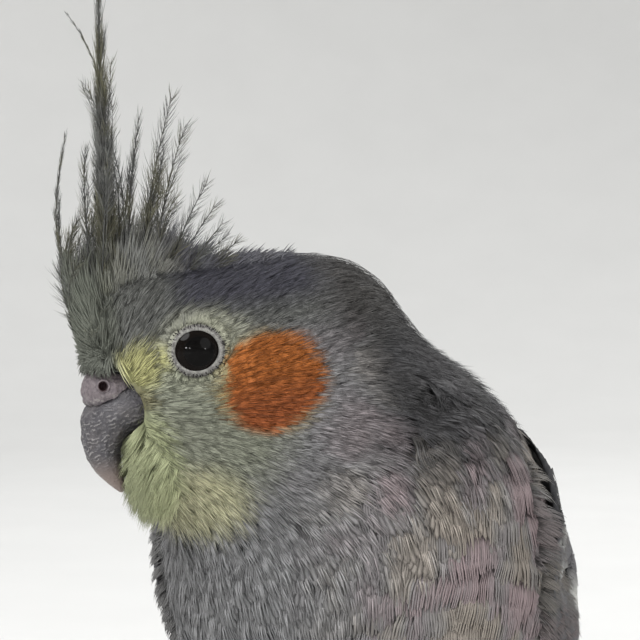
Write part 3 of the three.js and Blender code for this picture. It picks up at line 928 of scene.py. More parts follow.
def lay_streaks():
    rng = np.random.default_rng(14)
    roots, normals = settle(scattered(skin.data, streak_gap, 15, on_face))
    count = len(roots)
    ways = swung(lie(roots, normals), normals, rng.normal(0, 0.05, count))
    reach = (3 + 2.6 * rng.random(count)) * MM
    shaft, facing = march(roots, ways, reach, np.array([0, 0.35, 0.7, 1]))
    depth = (coat_depth(roots) * (0.85 + 0.2 * rng.random(count)) + 0.1) * MM
    shaft = shaft + facing * (depth[:, None] * np.array([0.4, 0.85, 1, 1.02]))[..., None]
    thin = np.array([0.05, 0.085, 0.07, 0.02]) * MM * np.ones((count, 1))
    arrays = shaft, facing, thin, thin * 0.4, shaft[:, 2], rng.random((count, 3))
    material = feather_material("face_streaks", streak_tone, 0.6, 0.9, 0.3)
    finish_barbs("face_streaks", arrays, material)


lay_streaks()

# %% [markdown]
# On a bird's neck, breast, back and belly the feathers stand in rows, and their ends run together into bands
# of fine light and dark lines. Roots that are only scattered would give scales and no bands. So the tips are
# placed first, on wavy rings round the head: many places are thrown over the skin and pulled to the nearest
# ring, and those that stand too close on it are left out.

# %% Rows of feather tips
ROW = 3.9
ROWS_START = 33
ROWS_END = 96
REACH_STEP = 0.5
REACHES = np.arange(0, 320, REACH_STEP)


def vane_size(far):
    """Feathers grow from the neck outwards. Far is in millimetres from the skull."""
    return 0.66 + 0.34 * ramp(far, 27, 44)


ROW_TABLE = np.cumsum(REACH_STEP / (ROW * vane_size(REACHES)))


def row_number(places):
    """Distance from the head in rows, with a slow wave."""
    x, y, z = places.T / MM
    wave = 1.5 * np.sin(x / 8 + 1) + 1.3 * np.sin(z / 9 + y / 11) + 0.4 * np.sin(x / 2.6 + z / 3.1)
    return np.interp(far_of(places) + wave, REACHES, ROW_TABLE)


def in_rows(points):
    return (head_reach(points) > ROWS_START) & (bird_places(points)[:, 1] < ROWS_END)


def tips_in_rows(rng):
    """Feather tips on rings round the head, less than a feather's width apart on each ring."""
    tips, normals = settle(scattered(skin.data, evenly(1.0), 22, in_rows))
    for _ in range(3):
        row = row_number(tips)
        ways = lie(tips, normals)
        outward = np.maximum((ways * unit(tips - SKULL_AT)).sum(1), 0.4)
        gap = ROW * vane_size(far_of(tips))
        tips, normals = settle(tips + ways * ((np.round(row) - row) * gap / outward * MM)[:, None])
    row = row_number(tips)
    on_row = np.abs(row - np.round(row)) < 0.1
    tips, normals = tips[on_row], normals[on_row]
    row = np.round(row[on_row]).astype(int)
    kept = []
    for number in np.unique(row):
        here = np.flatnonzero(row == number)
        apart = rng.uniform(2.2, 2.9, len(here)) * vane_size(far_of(tips[here])) * MM
        kept += list(here[thinned(tips[here], apart, rng.permutation(len(here)))])
    return tips[kept], normals[kept]


print("rings of rows out to the tail's root:", round(float(row_number(TAIL_ROOT[None])[0])))

# %% [markdown]
# Each of these feathers is a vane whose barbs overlap near the root and part into a comb at the end. Broad
# cards would be lighter, but the fine lines come from real gaps between barbs, with painted shade on the
# roots below showing dark through them. Each is marched back from its tip to its root, so the tips stay in
# their rows. Feathers that a folded wing hides are left out, and the ones on the thighs get their own pieces.

# %% Coat of the body
# The coat's painted shade on each barb ends sharply between 0.42 and 0.56 of its length, so it shows as dark
# lines in the gaps of the comb.
COAT = feather_material("coat_feathers", markings, 0.62, 0.42, 0.16, 0.03, 0.8, (0.42, 0.56))
VANE_SHARES = np.array([0, 0.42, 0.67, 0.74, 0.96, 1])
VANE_TAPER = ([0, 0.67, 0.74, 0.96, 1], [1.4, 1.3, 0.88, 0.72, 0.25])
VANE_WORDS = {
    "parted": 0.76, "taper": VANE_TAPER, "droop": 0.1, "wander": 0.025, "rough": 0.03,
    "ridged": 0.1, "lifted": 3.0, "curved": 0.07, "ragged": 0.12,
}
WING_OVER = 0.012


def under_wing(places, normals):
    """True where a folded wing lies over a place, at most WING_OVER metres out from it."""
    return np.array([
        any(tree.ray_cast(place, normal, WING_OVER)[0] is not None for tree in WING_TREES.values())
        for place, normal in zip(places, normals)
    ])


def body_groups(body):
    """The pieces that the body's and the thighs' barbs are shared out to, as masks."""
    left, front = body[:, 0] > 0, body[:, 1] < -6
    thigh = (body[:, 2] < 38) & (np.abs(body[:, 0]) > 7) & (np.abs(body[:, 1] - 14) < 16)
    on_body = {
        "left_breast": left & front & ~thigh, "right_breast": ~left & front & ~thigh,
        "left_flank": left & ~front & ~thigh, "right_flank": ~left & ~front & ~thigh,
    }
    return on_body, {"left": left & thigh, "right": ~left & thigh}


def lay_body():
    rng = np.random.default_rng(21)
    tips, normals = tips_in_rows(rng)
    ways = lie(tips, normals)
    hidden = under_wing(tips, normals) & under_wing(tips - ways * 6 * MM, normals)
    tips, normals, ways = tips[~hidden], normals[~hidden], ways[~hidden]
    count = len(tips)
    shift = rng.normal(0, 0.3, count) * vane_size(far_of(tips)) * MM
    tips, normals = settle(tips + ways * shift[:, None])
    ways = swung(ways, normals, rng.normal(0, 0.07, count))
    size = vane_size(far_of(tips))
    reach = (9 + 0.3 * rng.random(count)) * size * MM
    shaft, facing = (a[:, ::-1] for a in march(tips, -ways, reach, 1 - VANE_SHARES[::-1]))
    half = (3.4 + 0.5 * rng.random(count)) * size * MM
    raised = 0.6 + 0.4 * ramp(head_reach(tips), 36, 50)
    depth = coat_depth(tips) * raised * (0.92 + 0.12 * rng.random(count)) * MM
    arrays = fan(shaft, facing, VANE_SHARES, half, 19, depth, rng, **VANE_WORDS)
    on_body, on_thighs = body_groups(bird_places(arrays[4]))
    split_and_finish("body", arrays, on_body, COAT)
    split_and_finish("thigh", arrays, on_thighs, COAT)
    print("body feathers", count)


lay_body()

# %% [markdown]
# Under the outer feathers a bird has plain downy ones that close every gap. A thicker skin would close them
# too, but it would look like felt. So wide plain feathers are scattered between and below the rows, and
# start a little nearer the head than the rows do.

# %% Feathers under the rows
FILL_START = 28
FILL_END = 90


def in_filling(points):
    return (head_reach(points) > FILL_START) & (bird_places(points)[:, 1] < FILL_END)


def lay_fillers():
    rng = np.random.default_rng(24)
    roots, normals = settle(scattered(skin.data, evenly(3.9), 25, in_filling))
    seen = ~under_wing(roots, normals)
    roots, normals = roots[seen], normals[seen]
    count = len(roots)
    ways = swung(lie(roots, normals), normals, rng.normal(0, 0.1, count))
    reach, half = np.full(count, 7.5 * MM), np.full(count, 3 * MM)
    depth = coat_depth(roots) * 0.8 * MM
    words = {"parted": 0.85, "wander": 0.02, "rough": 0.02, "ridged": 0.06, "lifted": 3}
    arrays = tufts(roots, ways, reach, (0, 0.45, 0.85, 1), half, 8, depth, rng, **words)
    finish_barbs("body_under", arrays, COAT)


lay_fillers()

# %% [markdown]
# The crest is a fan of long plumes on the forehead that the bird raises when it is awake. Each has a thin
# shaft and loose barbs that don't hook together. Flat blades would be simpler, but light falls through real
# plumes. So a path is drawn for each of the long ones in the photograph, barbs are thrown along it, and
# many shorter plumes are varied from these few.

# %% Plumes of the crest
PLUMES = [
    # Root and tip on the head's middle plane, bow, how late the bow comes, barb length, lean, gap
    ((17.4, 4), (18.6, 36), 4.2, 0.9, 2.2, 12, 0.12), ((17.2, 5), (21.2, 27), 2.6, 0.9, 2.4, 15, 0.12),
    ((16.4, 8), (16, 34), 1.4, 1, 3.2, 20, 0.13), ((16.6, 9), (10.6, 59), 0.3, 1, 5.0, 11, 0.065),
    ((16.3, 9), (11.2, 50), 0.4, 1, 5.4, 13, 0.065), ((16, 10), (12.2, 42), 0.2, 1, 5.2, 14, 0.065),
    ((16.2, 10), (16.3, 54), -3.6, 2.2, 1.8, 10, 0.14), ((12.8, 10), (7.7, 37), 0.8, 1, 3.6, 15, 0.09),
    ((14.5, 10), (12.5, 34), 0.6, 1, 4.2, 26, 0.14), ((11.5, 11), (5.2, 30), 1, 1, 4.2, 28, 0.14),
    ((10, 11), (1.9, 39.5), 1.4, 1, 4.2, 26, 0.13), ((8.5, 11.5), (0.9, 35), 1.2, 1, 4.2, 30, 0.13),
    ((6.5, 12), (-1.6, 26), 0.9, 1, 3.6, 30, 0.14), ((4, 12), (-2.6, 19.5), 0.6, 1, 3.2, 28, 0.14),
    ((1, 12), (-5, 16.5), 0.4, 1, 2.8, 26, 0.15),
]
DRAWN_ASIDE = 1.3
SHORT_PLUMES = 72
PLUME_STATIONS = 12
HEAD_LEFT = unit(in_skull(0, 1, 0) - SKULL_AT)
HEAD_UP = unit(in_skull(0, 0, 1) - SKULL_AT)


def crest_tone(place):
    tint = place.noise(5, 2.0)
    tone = solid(place, colour(86, 86, 84))
    tone = tone.mix(tint.step(0.45, 0.6) * 0.6, colour(108, 106, 80))
    # The pale patches are painted glints, for light caught on the loose barbs.
    return tone.mix(tint.step(0.44, 0.36) * 0.6, colour(136, 138, 134))


def plume_path(root, tip, bow, late, aside, count):
    share = np.linspace(0, 1, count)
    forward = root[0] + (tip[0] - root[0]) * share + np.sin(np.pi * share**late) * bow
    up = root[1] + (tip[1] - root[1]) * share
    return np.array([in_skull(f, aside * s, u) for f, s, u in zip(forward, share, up)])


def plume_barbs(path, loose, lean, gap, rng):
    """Middle lines and facings of the loose barbs of one plume."""
    long = np.linalg.norm(path[-1] - path[0])
    count = int(long / MM / gap)
    share = np.sort(rng.random(count)) * 0.98
    at = share * (len(path) - 1)
    low = np.minimum(at.astype(int), len(path) - 2)
    root = path[low] + (path[low + 1] - path[low]) * (at - low)[:, None]
    along = unit(path[low + 1] - path[low])
    turn = rng.choice([0, np.pi], count) + rng.normal(0, 0.6, count)
    forward = unit(np.cross(along, HEAD_LEFT))
    side = forward * np.cos(turn)[:, None] + HEAD_LEFT * np.sin(turn)[:, None]
    lean = np.radians(rng.normal(lean, lean * 0.25, count))
    longest = loose * MM * (0.5 + 0.5 * np.sin(np.pi * (0.2 + 0.75 * share)))
    reach = longest * (0.65 + 0.6 * rng.random(count))
    steps = np.array([0, 0.33, 0.68, 1])[None]
    out = (steps - 0.3 * steps**2) * np.sin(lean * 1.3)[:, None]
    on = steps * np.cos(lean)[:, None]
    way = side[:, None] * out[..., None] + along[:, None] * on[..., None]
    line = root[:, None] + way * reach[:, None, None]
    facing = unit(np.cross(np.cross(along, side), side * 0.4 + along))
    return line, np.repeat(facing[:, None], 4, 1)


def all_plumes(rng):
    """The drawn plumes, in turn a little to each side, and shorter ones varied from them."""
    plumes = [(*plume, DRAWN_ASIDE * (1 if i % 2 else -1)) for i, plume in enumerate(PLUMES)]
    for _ in range(SHORT_PLUMES):
        root, tip, bow, *_ = PLUMES[rng.integers(len(PLUMES))]
        shorter = 0.3 + 0.5 * rng.random()
        drift = np.minimum(rng.normal(0, 1.5, 2), 0.7)
        tip = (root[0] + (tip[0] - root[0]) * shorter + drift[0], root[1] + (tip[1] - root[1]) * shorter)
        start = (root[0] + drift[1] * 0.8, root[1])
        plumes.append((start, tip, bow, 1, 3.4, rng.uniform(20, 32), 0.17, rng.normal(0, 2.3)))
    return plumes


def lay_crest():
    rng = np.random.default_rng(31)
    # A wide spread of 0.8 makes some barbs much paler than others, as painted glints.
    material = feather_material("crest_plumes", crest_tone, 0.5, 0.75, 0.8, 0.3)
    shafts, lines, looks, own = [], [], [], []
    for root, tip, bow, late, loose, lean, gap, aside in all_plumes(rng):
        path = plume_path(root, tip, bow, late, aside, PLUME_STATIONS)
        shafts.append(path)
        found, facing = plume_barbs(path, loose, lean, gap, rng)
        lines.append(found)
        looks.append(facing)
        own.append(np.full(len(found), rng.random()))
    line, look = np.concatenate(lines), np.concatenate(looks)
    count = len(line)
    thin = (0.07 + 0.05 * rng.random(count))[:, None] * np.array([1, 1, 0.8, 0.25]) * MM
    grain = np.stack([np.zeros(count), rng.random(count), np.concatenate(own)], 1)
    arrays = line, look, thin, thin * 0.35, line[:, 0], grain
    finish_barbs("crest_barbs", arrays, material, ["crest"])
    shafts = np.array(shafts)
    count = len(shafts)
    facing = np.broadcast_to(HEAD_LEFT, shafts.shape)
    taper = np.linspace(0.32, 0.08, PLUME_STATIONS) * MM * np.ones((count, 1))
    grain = np.stack([np.zeros(count), rng.random(count) * 0.3, rng.random(count)], 1)
    arrays = shafts, facing, taper, taper * 0.5, shafts[:, 0], grain
    finish_barbs("crest_shafts", arrays, material)


lay_crest()

# %% [markdown]
# At the foot of the crest short feathers stand close together. They lean forwards at the front, stand up
# behind, and lie down further back on the crown. The face's small tufts could just go on here, but they
# would leave the plumes' roots bare. So longer tufts are thrown along the middle of the head, and their
# length and lean are read off a short table by the angle round it.

# %% Foot of the crest
BASE_ANGLES = (14, 30, 45, 65, 90, 118)
BASE_LEANS = (-22, -12, -2, 26, 60, 80)
LENGTH_ANGLES = (14, 26, 45, 60, 75, 90, 118)
LENGTHS = (5, 12, 14, 13, 9, 7, 4.5)
HEAD_BACK = unit(in_skull(-1, 0, 0) - SKULL_AT)
TUFT_SHARES = np.array([0, 0.4, 0.74, 1])


def crest_down_tone(place):
    return markings(place).mix(0.3, crest_tone(place))


def sideways(left):
    """1 on the left of the head and -1 on its right, to be multiplied with stations."""
    return np.where(left > 0, 1.0, -1.0)[:, None, None]


def lay_crest_base():
    rng = np.random.default_rng(33)
    count = 800
    turn = np.radians(rng.uniform(BASE_ANGLES[0], BASE_ANGLES[-1], count))
    left = rng.normal(0, 1, count) * 2.8
    seeds = [in_skull(22 * math.cos(a), s, 22 * math.sin(a)) for a, s in zip(turn, left)]
    roots, normals = settle(np.array(seeds))
    head = skull_places(roots)
    at = np.degrees(turn)
    lean = np.radians(np.interp(at, BASE_ANGLES, BASE_LEANS) + rng.normal(0, 8, count))
    long = np.interp(at, LENGTH_ANGLES, LENGTHS)
    long = long * (0.4 + 0.6 * rng.random(count)) * np.exp(-((left / 4.5) ** 2)) * MM
    way = HEAD_UP * np.cos(lean)[:, None] + HEAD_BACK * np.sin(lean)[:, None]
    way = unit(way + HEAD_LEFT * (head[:, 1] * 0.05)[:, None])
    sag = HEAD_BACK * (TUFT_SHARES**2)[None, :, None] * (long * 0.12)[:, None, None]
    shaft = straight(roots, way, long, TUFT_SHARES) + sag
    facing = unit(HEAD_LEFT * sideways(left) + normals[:, None] * 0.2 + 0 * shaft)
    half = rng.uniform(0.5, 1.1, count) * MM
    words = {"parted": 0.3, "wander": 0.3, "rough": 0.35, "ragged": 0.35}
    arrays = fan(shaft, facing, TUFT_SHARES, half, 9, np.full(count, 0.5) * MM, rng, **words)
    material = feather_material("crest_down", crest_down_tone, 0.6, 0.66, 0.4, 0.16, 1.5)
    finish_barbs("crest_base", arrays, material)


lay_crest_base()

# %% [markdown]
# Over the cere the forehead's feathers stand forwards of the skull, up to the front of the crest. A bulge of
# the skin would fill that outline, but it would look solid. So each feather is drawn from a root on the
# skull to a tip at or just inside the outline's front edge, with a bow forwards.

# %% Forehead
EDGE_UP = (-1.2, 1.2, 4.75, 11.6, 17.7, 24.6)
EDGE_AHEAD = (21.9, 22.2, 22.3, 22.3, 22.5, 21.0)
LOOSE_WORDS = {"parted": 0.4, "wander": 0.3, "rough": 0.3, "ragged": 0.3, "ridged": 0.2}


def lay_forehead():
    rng = np.random.default_rng(35)
    count = 540
    left = rng.normal(0, 2.0, count)
    low_ones = rng.random(count) < 0.4
    high = np.where(low_ones, rng.uniform(-1.2, 5, count), rng.uniform(3, 21, count))
    left = np.where(low_ones, left * 1.15, left)
    inwards = rng.uniform(0, 1, count) ** 1.5 * np.interp(high, [0, 4], [1.2, 3.2])
    ahead = np.interp(high, EDGE_UP, EDGE_AHEAD) - inwards - 0.14 * left**2
    low = np.interp(high, [0, 3, 21], [1.8, 2.2, 9]) + rng.uniform(-0.9, 0.6, count)
    roots, _ = settle(np.array([in_skull(19, s * 1.15, u) for s, u in zip(left, low)]))
    tips = np.array([in_skull(f, s * 1.1, u - 0.1 * s * s) for f, s, u in zip(ahead, left, high)])
    long = np.linalg.norm(tips - roots, axis=1)
    front = unit(in_skull(0.8, 0, 0.6) - SKULL_AT)
    bow = front * np.sin(np.pi * TUFT_SHARES)[None, :, None] * (0.16 * long)[:, None, None]
    shaft = roots[:, None] + (tips - roots)[:, None] * TUFT_SHARES[:, None] + bow
    facing = unit(HEAD_LEFT * sideways(left) + 0.6 * front + 0 * shaft)
    half = rng.uniform(0.5, 0.9, count) * MM
    arrays = fan(shaft, facing, TUFT_SHARES, half, 7, np.full(count, 0.3) * MM, rng, **LOOSE_WORDS)
    finish_barbs("forehead", arrays, FACE_COAT)


lay_forehead()

# %% [markdown]
# The eye is nearly black and wet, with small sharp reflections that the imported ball's facets would break
# up. A finer mesh of the same node could be smoothed, but a true sphere is simpler, so one takes its place.
# Round it lies the bare ring of skin: a spun lip that hugs the ball, with rows of small scales on it.

# %% Eyes and their rings
EYE_BALL = 4.68
SCALE_ROWS = ((3.32, 44), (3.5, 48), (3.68, 50), (3.86, 52))
LIP_RADII = (2.95, 3.06, 3.14, 3.25, 3.4, 3.6, 3.85, 4.1, 4.4, 4.7)
RING_RADII = (3.0, 3.1, 3.25, 3.5, 3.8, 4.1, 4.5, 4.9)
RING_HEIGHTS = (3.42, 3.68, 3.74, 3.6, 3.3, 2.9, 2.1, 1.0)
SIDES = (("left", 1), ("right", -1))


def eye_frame(side):
    """The eye's own frame in millimetres: z out through the pupil, x forwards."""
    axis = Vector((0.06, side, 0.03)).normalized()
    across = (Vector((1, 0, 0)) - axis * axis.x).normalized()
    turn = Matrix((across, axis.cross(across), axis)).transposed().to_4x4()
    return SKULL @ Matrix.Translation((EYE_AT[0], side * EYE_AT[1], EYE_AT[2])) @ turn


def bmesh_piece(bm, name):
    mesh = bpy.data.meshes.new(name)
    bmesh.ops.recalc_face_normals(bm, faces=bm.faces)
    bm.to_mesh(mesh)
    bm.free()
    mesh.shade_smooth()
    return link(mesh)


def spun(bm, geometry, steps):
    """Turns corners and edges once round the z axis."""
    bmesh.ops.spin(
        bm, geom=geometry, cent=(0, 0, 0), axis=(0, 0, 1), angle=math.tau, steps=steps, use_merge=True
    )


def spun_profile(bm, profile, steps):
    """A round surface from pairs of radius and height."""
    line = [bm.verts.new((float(r), 0, float(z))) for r, z in profile]
    spun(bm, line + [bm.edges.new(pair) for pair in zip(line, line[1:])], steps)


def squared_from_eye(forward, up):
    return (forward - EYE_AT[0]) ** 2 + (up - EYE_AT[2]) ** 2


def eye_material():
    material, shader, wire = new_material("wet_eye", 0.03, 0.08)
    place = wire.object_place()
    iris = squared_from_eye(*skull_wires(place)).step(4.0, 6.0)
    tone = solid(place, (0.002, 0.0018, 0.0017, 1))
    brown = iris * (place.noise(0.5, 2.0) * 0.5 + 0.4)
    feed(shader, "Base Color", tone.mix(brown, (0.005, 0.0033, 0.0024, 1)))
    return material


def ring_material():
    """Pale scaly skin with a dark spot behind the eye, which takes the markings' colour at its edge."""
    material, shader, wire = new_material("eye_ring_skin", 0.55, 0.35)
    place = wire.object_place()
    forward, up = skull_wires(place)
    squared = squared_from_eye(forward, up)
    tone = solid(place, colour(140, 139, 134))
    tone = tone.mix(place.noise(0.5, 3.0).step(0.42, 0.6) * 0.6, colour(100, 97, 97))
    pitted = squared.step(11.2, 14) * place.noise(0.28, 1.0).step(0.4, 0.55)
    tone = tone.mix(pitted * 0.75, colour(62, 59, 58))
    tone = tone.mix((squared**0.5).step(3.8, 4.1) * 0.85, markings(place))
    behind = spot(forward, up, (EYE_AT[0] - 4.3, EYE_AT[2] + 0.5), (0.7, 0.4), 0.4)
    feed(shader, "Base Color", tone.mix(behind, colour(34, 31, 30)))
    feed_bumps(shader, place.noise(0.25, 2.0), 0.12, 0.7)
    return material


def ring_height(radius):
    """How high the ring stands over the eye's middle at a radius, in millimetres."""
    return np.interp(radius, RING_RADII, RING_HEIGHTS)


def almond(angle):
    """The lids draw out a little before and behind the eye."""
    return 1 + 0.05 * np.cos(2 * angle) + 0.05 * np.exp(-((np.cos(angle) + 1) ** 2) * 30)


def lid_ring(frame_of_eye):
    bm = bmesh.new()
    spun_profile(bm, zip(LIP_RADII, ring_height(LIP_RADII)), 64)
    for vertex in bm.verts:
        turn = math.atan2(vertex.co.y, vertex.co.x)
        stretch = almond(turn) if vertex.co.xy.length < 4.3 else 1
        vertex.co.x *= stretch
        vertex.co.y *= stretch
    for radius, count in SCALE_ROWS:
        for k in range(count):
            turn = math.tau * (k + 0.5 * (count % 4 == 0)) / count
            r = radius * almond(turn)
            place = Matrix.Translation((r * math.cos(turn), r * math.sin(turn), ring_height(radius) + 0.02))
            size = Matrix.Rotation(turn, 4, "Z") @ Matrix.Diagonal((0.11, 0.15, 0.08, 1))
            bmesh.ops.create_icosphere(bm, subdivisions=1, radius=1, matrix=place @ size)
    bmesh.ops.transform(bm, matrix=frame_of_eye, verts=bm.verts)
    return bm


def lay_ring(word, side, material):
    finish_piece(bmesh_piece(lid_ring(eye_frame(side)), f"eye_ring_{word}"), material)


def lay_eyeball(word, side, material):
    bm = bmesh.new()
    bmesh.ops.create_uvsphere(bm, u_segments=64, v_segments=40, radius=EYE_BALL, matrix=eye_frame(side))
    finish_piece(bmesh_piece(bm, f"eyeball_{word}"), material, [f"eye_{word}"])


print("scales on each eye ring:", sum(count for _, count in SCALE_ROWS))

# %% [markdown]
# A parrot has no true lashes. Short dark bristles stand on the ring in their place, and short feathers run
# outwards from it and hide its edge. Both could be painted on the ring, but they break up its outline. So
# each bristle is one bent barb, and each feather is a small fan.

# %% Bristles and feathers round the eyes
LASH_ROWS = ((3.62, 36), (3.86, 42))
SHORT_SHARES = np.array([0, 0.5, 1])


def lash_tone(place):
    return solid(place, colour(40, 38, 37))


def lay_lashes(word, side, material, rng):
    frame_of_eye = eye_frame(side)
    turn_only = np.array(frame_of_eye)[:3, :3]
    roots, ways = [], []
    for radius, count in LASH_ROWS:
        for k in range(count):
            turn = math.tau * (k + rng.random() * 0.7) / count
            r = radius * almond(turn)
            c, s = math.cos(turn), math.sin(turn)
            roots.append(frame_of_eye @ Vector((r * c, r * s, float(ring_height(radius)))))
            ways.append(turn_only @ np.array([c, s, 0.35]))
    roots, ways = np.array(roots), unit(np.array(ways))
    count = len(roots)
    out = unit(np.broadcast_to(turn_only[:, 2], ways.shape))
    reach = (0.25 + 0.3 * rng.random(count)) * MM
    bend = (SHORT_SHARES - SHORT_SHARES**2) * (reach * 0.6)[:, None]
    line = straight(roots, ways, reach, SHORT_SHARES) + out[:, None] * bend[..., None]
    thin = np.tile(np.array([0.17, 0.14, 0.05]) * MM, (count, 1))
    arrays = line, np.repeat(out[:, None], 3, 1), thin, thin * 0.5, roots, rng.random((count, 3))
    finish_barbs(f"lashes_{word}", arrays, material)


def lay_eye_fur(word, side, rng):
    count = 190
    frame_of_eye = eye_frame(side)
    turn_only = np.array(frame_of_eye)[:3, :3] / MM
    angle = rng.uniform(0, math.tau, count)
    radius = rng.uniform(3.78, 4.5, count)
    spots = np.stack([radius * np.cos(angle), radius * np.sin(angle), ring_height(radius) - 0.15], 1)
    roots = np.array([frame_of_eye @ Vector(p) for p in spots])
    out = unit(np.broadcast_to(turn_only[:, 2], roots.shape))
    radial = np.stack([np.cos(angle), np.sin(angle), -0.32 + 0 * angle], 1) @ turn_only.T
    ways = unit(unit(radial) + 0.35 * HEAD_BACK + rng.normal(0, 0.12, roots.shape))
    reach = rng.uniform(1.5, 2.4, count) * MM
    bend = (SHORT_SHARES - SHORT_SHARES**2) * (reach * 0.5)[:, None]
    shaft = straight(roots, ways, reach, SHORT_SHARES) + out[:, None] * bend[..., None]
    facing = np.repeat(out[:, None], 3, 1)
    half, depth = np.full(count, 0.42) * MM, np.full(count, 0.12) * MM
    arrays = fan(shaft, facing, SHORT_SHARES, half, 6, depth, rng, **LOOSE_WORDS)
    finish_barbs(f"eye_fur_{word}", arrays, FACE_COAT)


def lay_eyes():
    rng = np.random.default_rng(41)
    wet, bare_skin = eye_material(), ring_material()
    bristles = feather_material("lash_bristles", lash_tone, 0.6, 0.8, 0.3)
    for word, side in SIDES:
        lay_eyeball(word, side, wet)
        lay_ring(word, side, bare_skin)
        lay_lashes(word, side, bristles, rng)
        lay_eye_fur(word, side, rng)


lay_eyes()

# %% [markdown]
# The bill is horn that grows in layers and flakes across its sides, rough in the middle and smooth at the
# tip. The flakes could be a bump in the finish alone, but they catch the light at the bill's edge too. So
# the faceted solid is remeshed, smoothed and pushed into shallow wavy steps, and the finish adds the finest
# layers.

# %% Bill
def horn_material():
    material, shader, wire = new_material("bill_horn", 0.42, 0.45)
    place = wire.object_place()
    forward, up = skull_wires(place)
    tone = solid(place, colour(64, 62, 66))
    tone = tone.mix(place.noise(3, 2.0).step(0.4, 0.65) * 0.6, colour(80, 76, 77))
    layers = (up * 9 + forward * 2.5 + place.noise(1.9, 4.0, 0.55) * 24).stripes()
    rough_part = up.step(-15, -12.5) * up.step(-4.5, -6.5)
    flaked = place.noise(0.9, 3.0).step(0.42, 0.58)
    tone = tone.mix(place.noise(0.45, 3.0).step(0.5, 0.62) * rough_part * 0.4, colour(112, 110, 112))
    tone = tone.mix(layers.step(0.72, 0.99) * flaked * (rough_part * 0.45 + 0.1), colour(150, 147, 145))
    tone = tone.mix(layers.step(0.3, 0.02) * flaked * (rough_part * 0.7 + 0.1), colour(50, 48, 51))
    tone = tone.mix(up.step(-12, -16.5) * 0.85, colour(126, 112, 105))
    feed(shader, "Base Color", tone)
    feed(shader, "Roughness", layers * 0.2 + 0.34)
    feed_bumps(shader, layers * flaked * 0.7 + place.noise(0.35, 3.0) * 0.7, 0.14, 0.8)
    return material


def lumps_on(head, fineness):
    """Rough noise over places in the skull's millimetres."""
    return np.array([noise.fractal(Vector(h) * fineness, 0.8, 2.0, 3) for h in head])


def flakes(places):
    """Wavy steps across the bill, in millimetres."""
    head = skull_places(places)
    step = ((-head[:, 2] * 0.85 + lumps_on(head, 0.55) * 1.5) % 1.0) ** 2
    rough_part = ramp(-head[:, 2], 5.5, 7.5) * (1 - ramp(-head[:, 2], 12.5, 15))
    under_cere = ramp(head[:, 2], -9, -6.4) * (1 - ramp(head[:, 2], -5.4, -4))
    under_cere = under_cere * ramp(head[:, 0], 13, 17)
    return 0.1 - step * (0.04 + 0.12 * rough_part) + 0.3 * under_cere


def smooth_piece(names, name, voxel, rounds, material, shape=None):
    """A smooth copy of some CAD nodes in their place. Shape is a function that works on the piece."""
    made = refined(names, name, voxel, rounds)
    if shape:
        shape(made)
    finish_piece(made, material, names)


def lay_bill():
    horn = horn_material()
    for half, shape in (("upper", lambda made: pushed(made, flakes)), ("lower", None)):
        smooth_piece([f"bill_{half}"], f"bill_{half}_horn", 0.24, 4, horn, shape)


lay_bill()

# %% [markdown]
# The cere is the bare soft skin over the bill that holds the nostrils. A plain smooth solid would look like
# wax. So it's pushed into small lumps, its finish has flakes and, on each side, a dark maroon spot of painted
# shade in the nostril's hole, and a small raised rim is spun round each nostril.

# %% Cere and nostrils
NOSTRIL_AT = (19.05, 4.28, -1.75)


def cere_material():
    material, shader, wire = new_material("cere_skin", 0.55, 0.35)
    place = wire.object_place()
    forward, up = skull_wires(place)
    tone = solid(place, colour(98, 90, 93))
    tone = tone.mix(place.noise(0.8, 3.0).step(0.45, 0.65) * 0.6, colour(116, 108, 109))
    tone = tone.mix(place.noise(0.4, 2.0).step(0.5, 0.36) * 0.5, colour(78, 71, 75))
    tone = tone.mix(up.step(-3, -5.2) * 0.8, colour(80, 77, 80))
    flaky = up.step(-2.6, -4) * place.noise(0.5, 3.0).step(0.54, 0.64)
    tone = tone.mix(flaky * 0.7, colour(138, 134, 131))
    # Painted shade: a dark maroon spot in each nostril's hole.
    tone = tone.mix(spot(forward, up, (19.2, -1.8), (0.72, 0.78), 0.2), colour(40, 24, 26))
    feed(shader, "Base Color", tone)
    feed_bumps(shader, place.noise(0.4, 3.0), 0.25, 0.8)
    return material


def cere_lumps(places):
    """Small lumps on the cere, and a fuller lower edge that runs into the horn, in millimetres."""
    head = skull_places(places)
    front = ramp(head[:, 0], 18.6, 20.6)
    low = 1 - ramp(head[:, 2], -4.6, -3)
    return -0.12 + 0.12 * lumps_on(head, 1.1) + front * (0.45 + 0.35 * low)


def nostril_rim(side):
    bm = bmesh.new()
    upright = Matrix.Translation((0.86, 0, 0)) @ Matrix.Rotation(math.pi / 2, 4, "X")
    ring = bmesh.ops.create_circle(bm, segments=10, radius=0.2, matrix=upright)
    spun(bm, ring["verts"] + list(bm.edges), 28)
    turn = Matrix.Rotation(-side * math.radians(72), 4, "X") @ Matrix.Rotation(math.radians(8), 4, "Y")
    place = Matrix.Translation((NOSTRIL_AT[0], side * NOSTRIL_AT[1], NOSTRIL_AT[2]))
    bmesh.ops.transform(bm, matrix=SKULL @ place @ turn, verts=bm.verts)
    return bm


def lay_cere():
    soft = cere_material()
    shape = lambda made: pushed(made, cere_lumps)
    smooth_piece(["cere"], "cere_soft", 0.2, 4, soft, shape)
    for word, side in SIDES:
        finish_piece(bmesh_piece(nostril_rim(side), f"nostril_{word}"), soft)


lay_cere()

# %% [markdown]
# Long soft feathers run forwards and down from the corner of the mouth and hide most of the lower bill.
# Tufts that march over the skin can't reach there, because they never leave it. So these shafts are drawn
# in the air, and only their roots stand on the skin.

